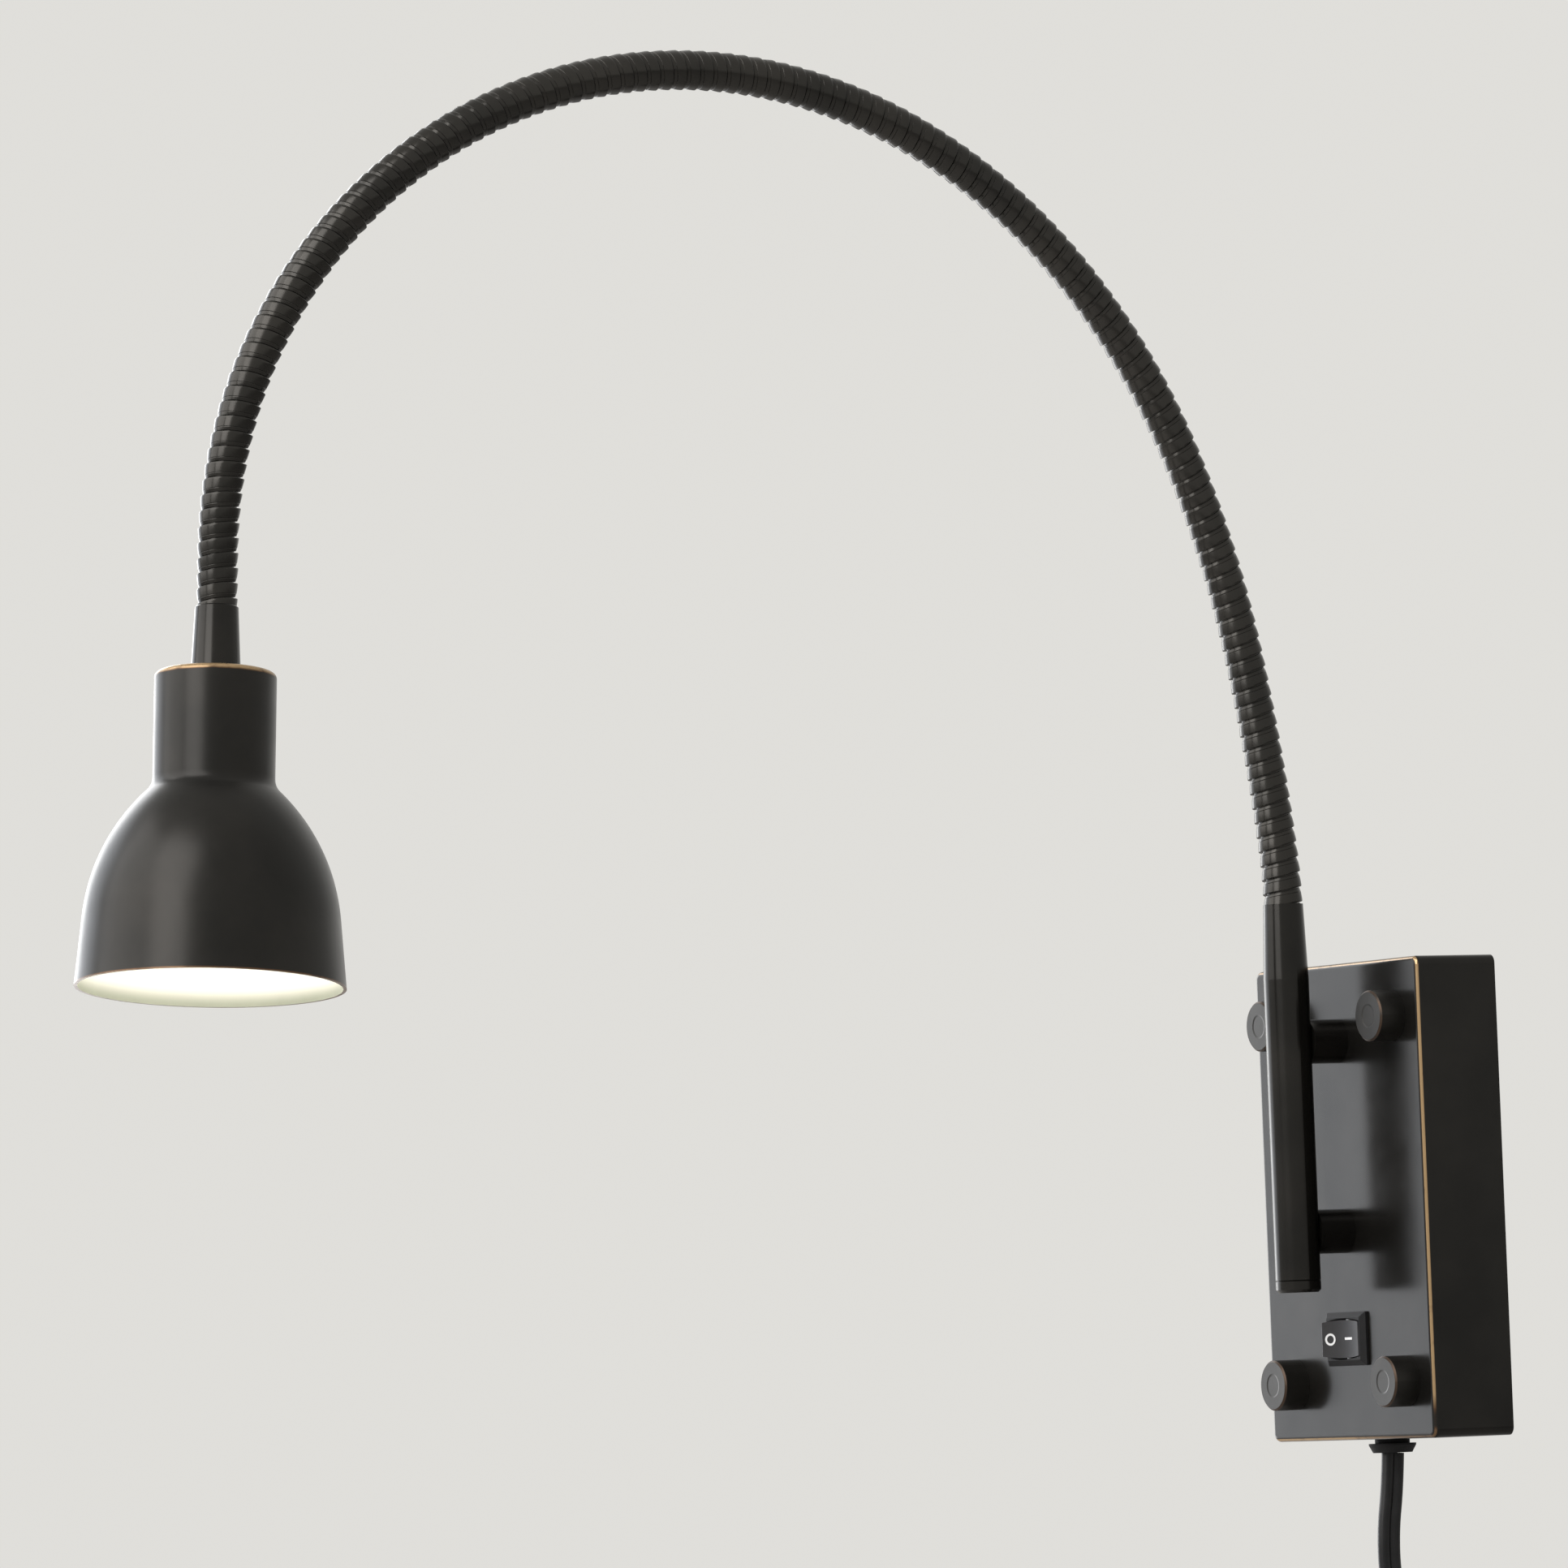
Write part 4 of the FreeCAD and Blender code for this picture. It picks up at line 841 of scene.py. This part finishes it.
# Painted shade: the coat is drawn greenish grey near the rim, where the lamp lights it less, and white higher
# up.
rim_shade_colour = ramp(pale_paint_and_shade, noise(pale_paint_and_shade, 60.0, 3.0), (0.35, rim_shade_grey), (0.68, rim_shade_darker))
white_share = between(pale_paint_and_shade, above_rim, *painted_shade_span)
join(pale_paint_and_shade, mix_colour(pale_paint_and_shade, white_share, rim_shade_colour, inside_white),
     shader_of(pale_paint_and_shade).inputs["Base Color"])
bump(pale_paint_and_shade, noise(pale_paint_and_shade, 900.0, 2.0), 0.05)
print("coat starts", painted_shade_span[0], "m above the rim")

# %% Glowing face of the lamp
lens_glow = new_material("lens_glow", roughness=0.3, emission_strength=7.5, base_color=(0.9, 0.88, 0.82, 1.0))
lamplight = ramp(lens_glow, noise(lens_glow, 300.0, 2.0), (0.3, (1.0, 0.93, 0.78)), (0.75, (1.0, 0.96, 0.86)))
join(lens_glow, lamplight, shader_of(lens_glow).inputs["Emission Color"])
print("finishes in all:", len(bpy.data.materials))

# %% [markdown]
# Now every piece gets its finish. The bell has two, so its faces are sorted by where they look: those that
# face the axis or down into the shade get the paint, and the rest stay bronze.

# %% Dress every solid
def dress(material, *names):
    """Gives a finish to solids of the model, by name, or to pieces made here."""
    for name in names:
        piece = frame["nodes"].get(name) if isinstance(name, str) else name
        piece.data.materials.clear()
        piece.data.materials.append(material)

dress(bronze_box, "cover_box")
dress(bronze_nuts, "cap_nuts")
dress(bronze_plain, "stem_tube", "stem_end_cap", "upper_spacer", "lower_spacer", "shade_sleeve")
dress(bronze_neck, *nodes_along, *hoses)
dress(bronze_bell, bell)
bell.data.materials.append(pale_paint_and_shade)
upright_again = to_head.inverted()
for face in bell.data.polygons:
    middle = upright_again @ face.center
    facing = upright_again.to_3x3() @ face.normal
    away = facing.x * middle.x + facing.y * middle.y
    inner_wall = away < -0.001 or (facing.z < -0.5 and middle.z > 0.001)
    face.material_index = 1 if inner_wall else 0
dress(zinc, "mounting_plate", "cover_studs", "stud_lock_nuts", "spacer_screw", "wire_nipple", "nipple_nut",
      "bushing_nut", "neck_lock_nut", "sleeve_nut", "holder_bridge", "switch_pivot_pin", "clamp_screws")
dress(black_matte, "switch_housing", "cord_bushing", "cord_tie")
dress(black_satin, "switch_rocker", "plug_body")
dress(brass, "switch_terminals", "lamp_pins", "plug_blades")
dress(ceramic, "lamp_holder")
dress(lamp_gloss, "lamp_body")
dress(lens_glow, "lamp_lens")
dress(pale_vinyl, "lamp_lead", "holder_wires", "terminal_block")
dress(core_vinyl, "supply_cores", "lamp_cores")
dress(cord_vinyl, mains_cord, "cord_lead", "cord_coil", "cord_tail")
dress(print_white, ring, dash)
undressed = [name for name, node in frame["nodes"].items() if not node.data.materials]
print("solids without a finish:", undressed)

# %% [markdown]
# ## Light and surroundings
# A pale floor lies below the lamp and a plain pale sky stands behind it. Two lights close at the left,
# square to the wall, are a window: its near part greys the face of the box and throws the shadow of the
# stem on it, and its bright far part draws a white line down the left of stem and shade. Two large lights,
# higher up and further off in front, are the room, which the round parts mirror as a grey band with a sharp
# right edge. The camera sees none of them. The sky is bright for the camera and in mirrored rays but weaker
# as a light, so that it fills the shadows only a little.

# %% Floor
floor_height = -0.262
deselect()
bpy.ops.mesh.primitive_plane_add(size=12.0, location=(0, 0, floor_height))
floor = bpy.context.object
floor.name = "floor"
floor_paint = new_material("floor_paint", roughness=0.85, base_color=(0.62, 0.60, 0.57, 1.0))
floor.data.materials.append(floor_paint)
print("floor at height", floor_height, "m")

# %% Sky
def background(colour, strength):
    node = add(world, "ShaderNodeBackground")
    node.inputs["Color"].default_value = (*colour, 1.0)
    node.inputs["Strength"].default_value = strength
    return node.outputs["Background"]

world = bpy.data.worlds.new("pale_sky")
bpy.context.scene.world = world
world.use_nodes = True
world.node_tree.nodes.clear()
paths = add(world, "ShaderNodeLightPath")
mirrored = maths(world, "MAXIMUM", paths.outputs["Is Glossy Ray"], paths.outputs["Is Transmission Ray"])
seen = maths(world, "MAXIMUM", paths.outputs["Is Camera Ray"], mirrored)
choice = add(world, "ShaderNodeMixShader")
join(world, seen, choice.inputs["Fac"])
join(world, background((0.80, 0.81, 0.83), 0.26), choice.inputs[1])
join(world, background((0.745, 0.735, 0.705), 1.0), choice.inputs[2])
sky = add(world, "ShaderNodeOutputWorld")
join(world, choice.outputs["Shader"], sky.inputs["Surface"])
print("sky nodes:", len(world.node_tree.nodes))

# %% Soft lights
lamp_middle = (0, -0.1, 0.1)
window_colour = (0.96, 0.975, 1.0)
shaded_window_colour = (0.86, 0.91, 1.0)
room_colour = (1.0, 0.985, 0.985)

def soft_light(name, place, target, width, height, watts, colour):
    """A rectangle of light that shines from its place towards a target."""
    data = bpy.data.lights.new(name, "AREA")
    data.shape = "RECTANGLE"
    data.size = width
    data.size_y = height
    data.energy = watts
    data.color = colour
    light = bpy.data.objects.new(name, data)
    bpy.context.scene.collection.objects.link(light)
    aim = (Vector(target) - Vector(place)).to_track_quat("-Z", "Y")
    light.location = place
    light.rotation_euler = aim.to_euler()
    light.visible_camera = False

soft_light("near_window", (-0.95, -0.75, 0.15), (0, -0.75, 0.15), width=0.58, height=1.3, watts=4.4,
           colour=shaded_window_colour)
soft_light("far_window", (-0.95, -0.23, 0.15), (0, -0.23, 0.15), width=0.44, height=1.3, watts=7.0,
           colour=window_colour)
soft_light("bright_room", (0.80, -2.0, 1.35), lamp_middle, width=1.3, height=2.3, watts=42.0,
           colour=room_colour)
soft_light("dim_room", (-0.72, -2.0, 1.15), lamp_middle, width=1.8, height=1.9, watts=30.0,
           colour=room_colour)
bpy.context.scene.view_settings.view_transform = "Standard"

# %% [markdown]
# ## End
# The last cell prints a closing line.

# %% Closing line
print("end of the script")
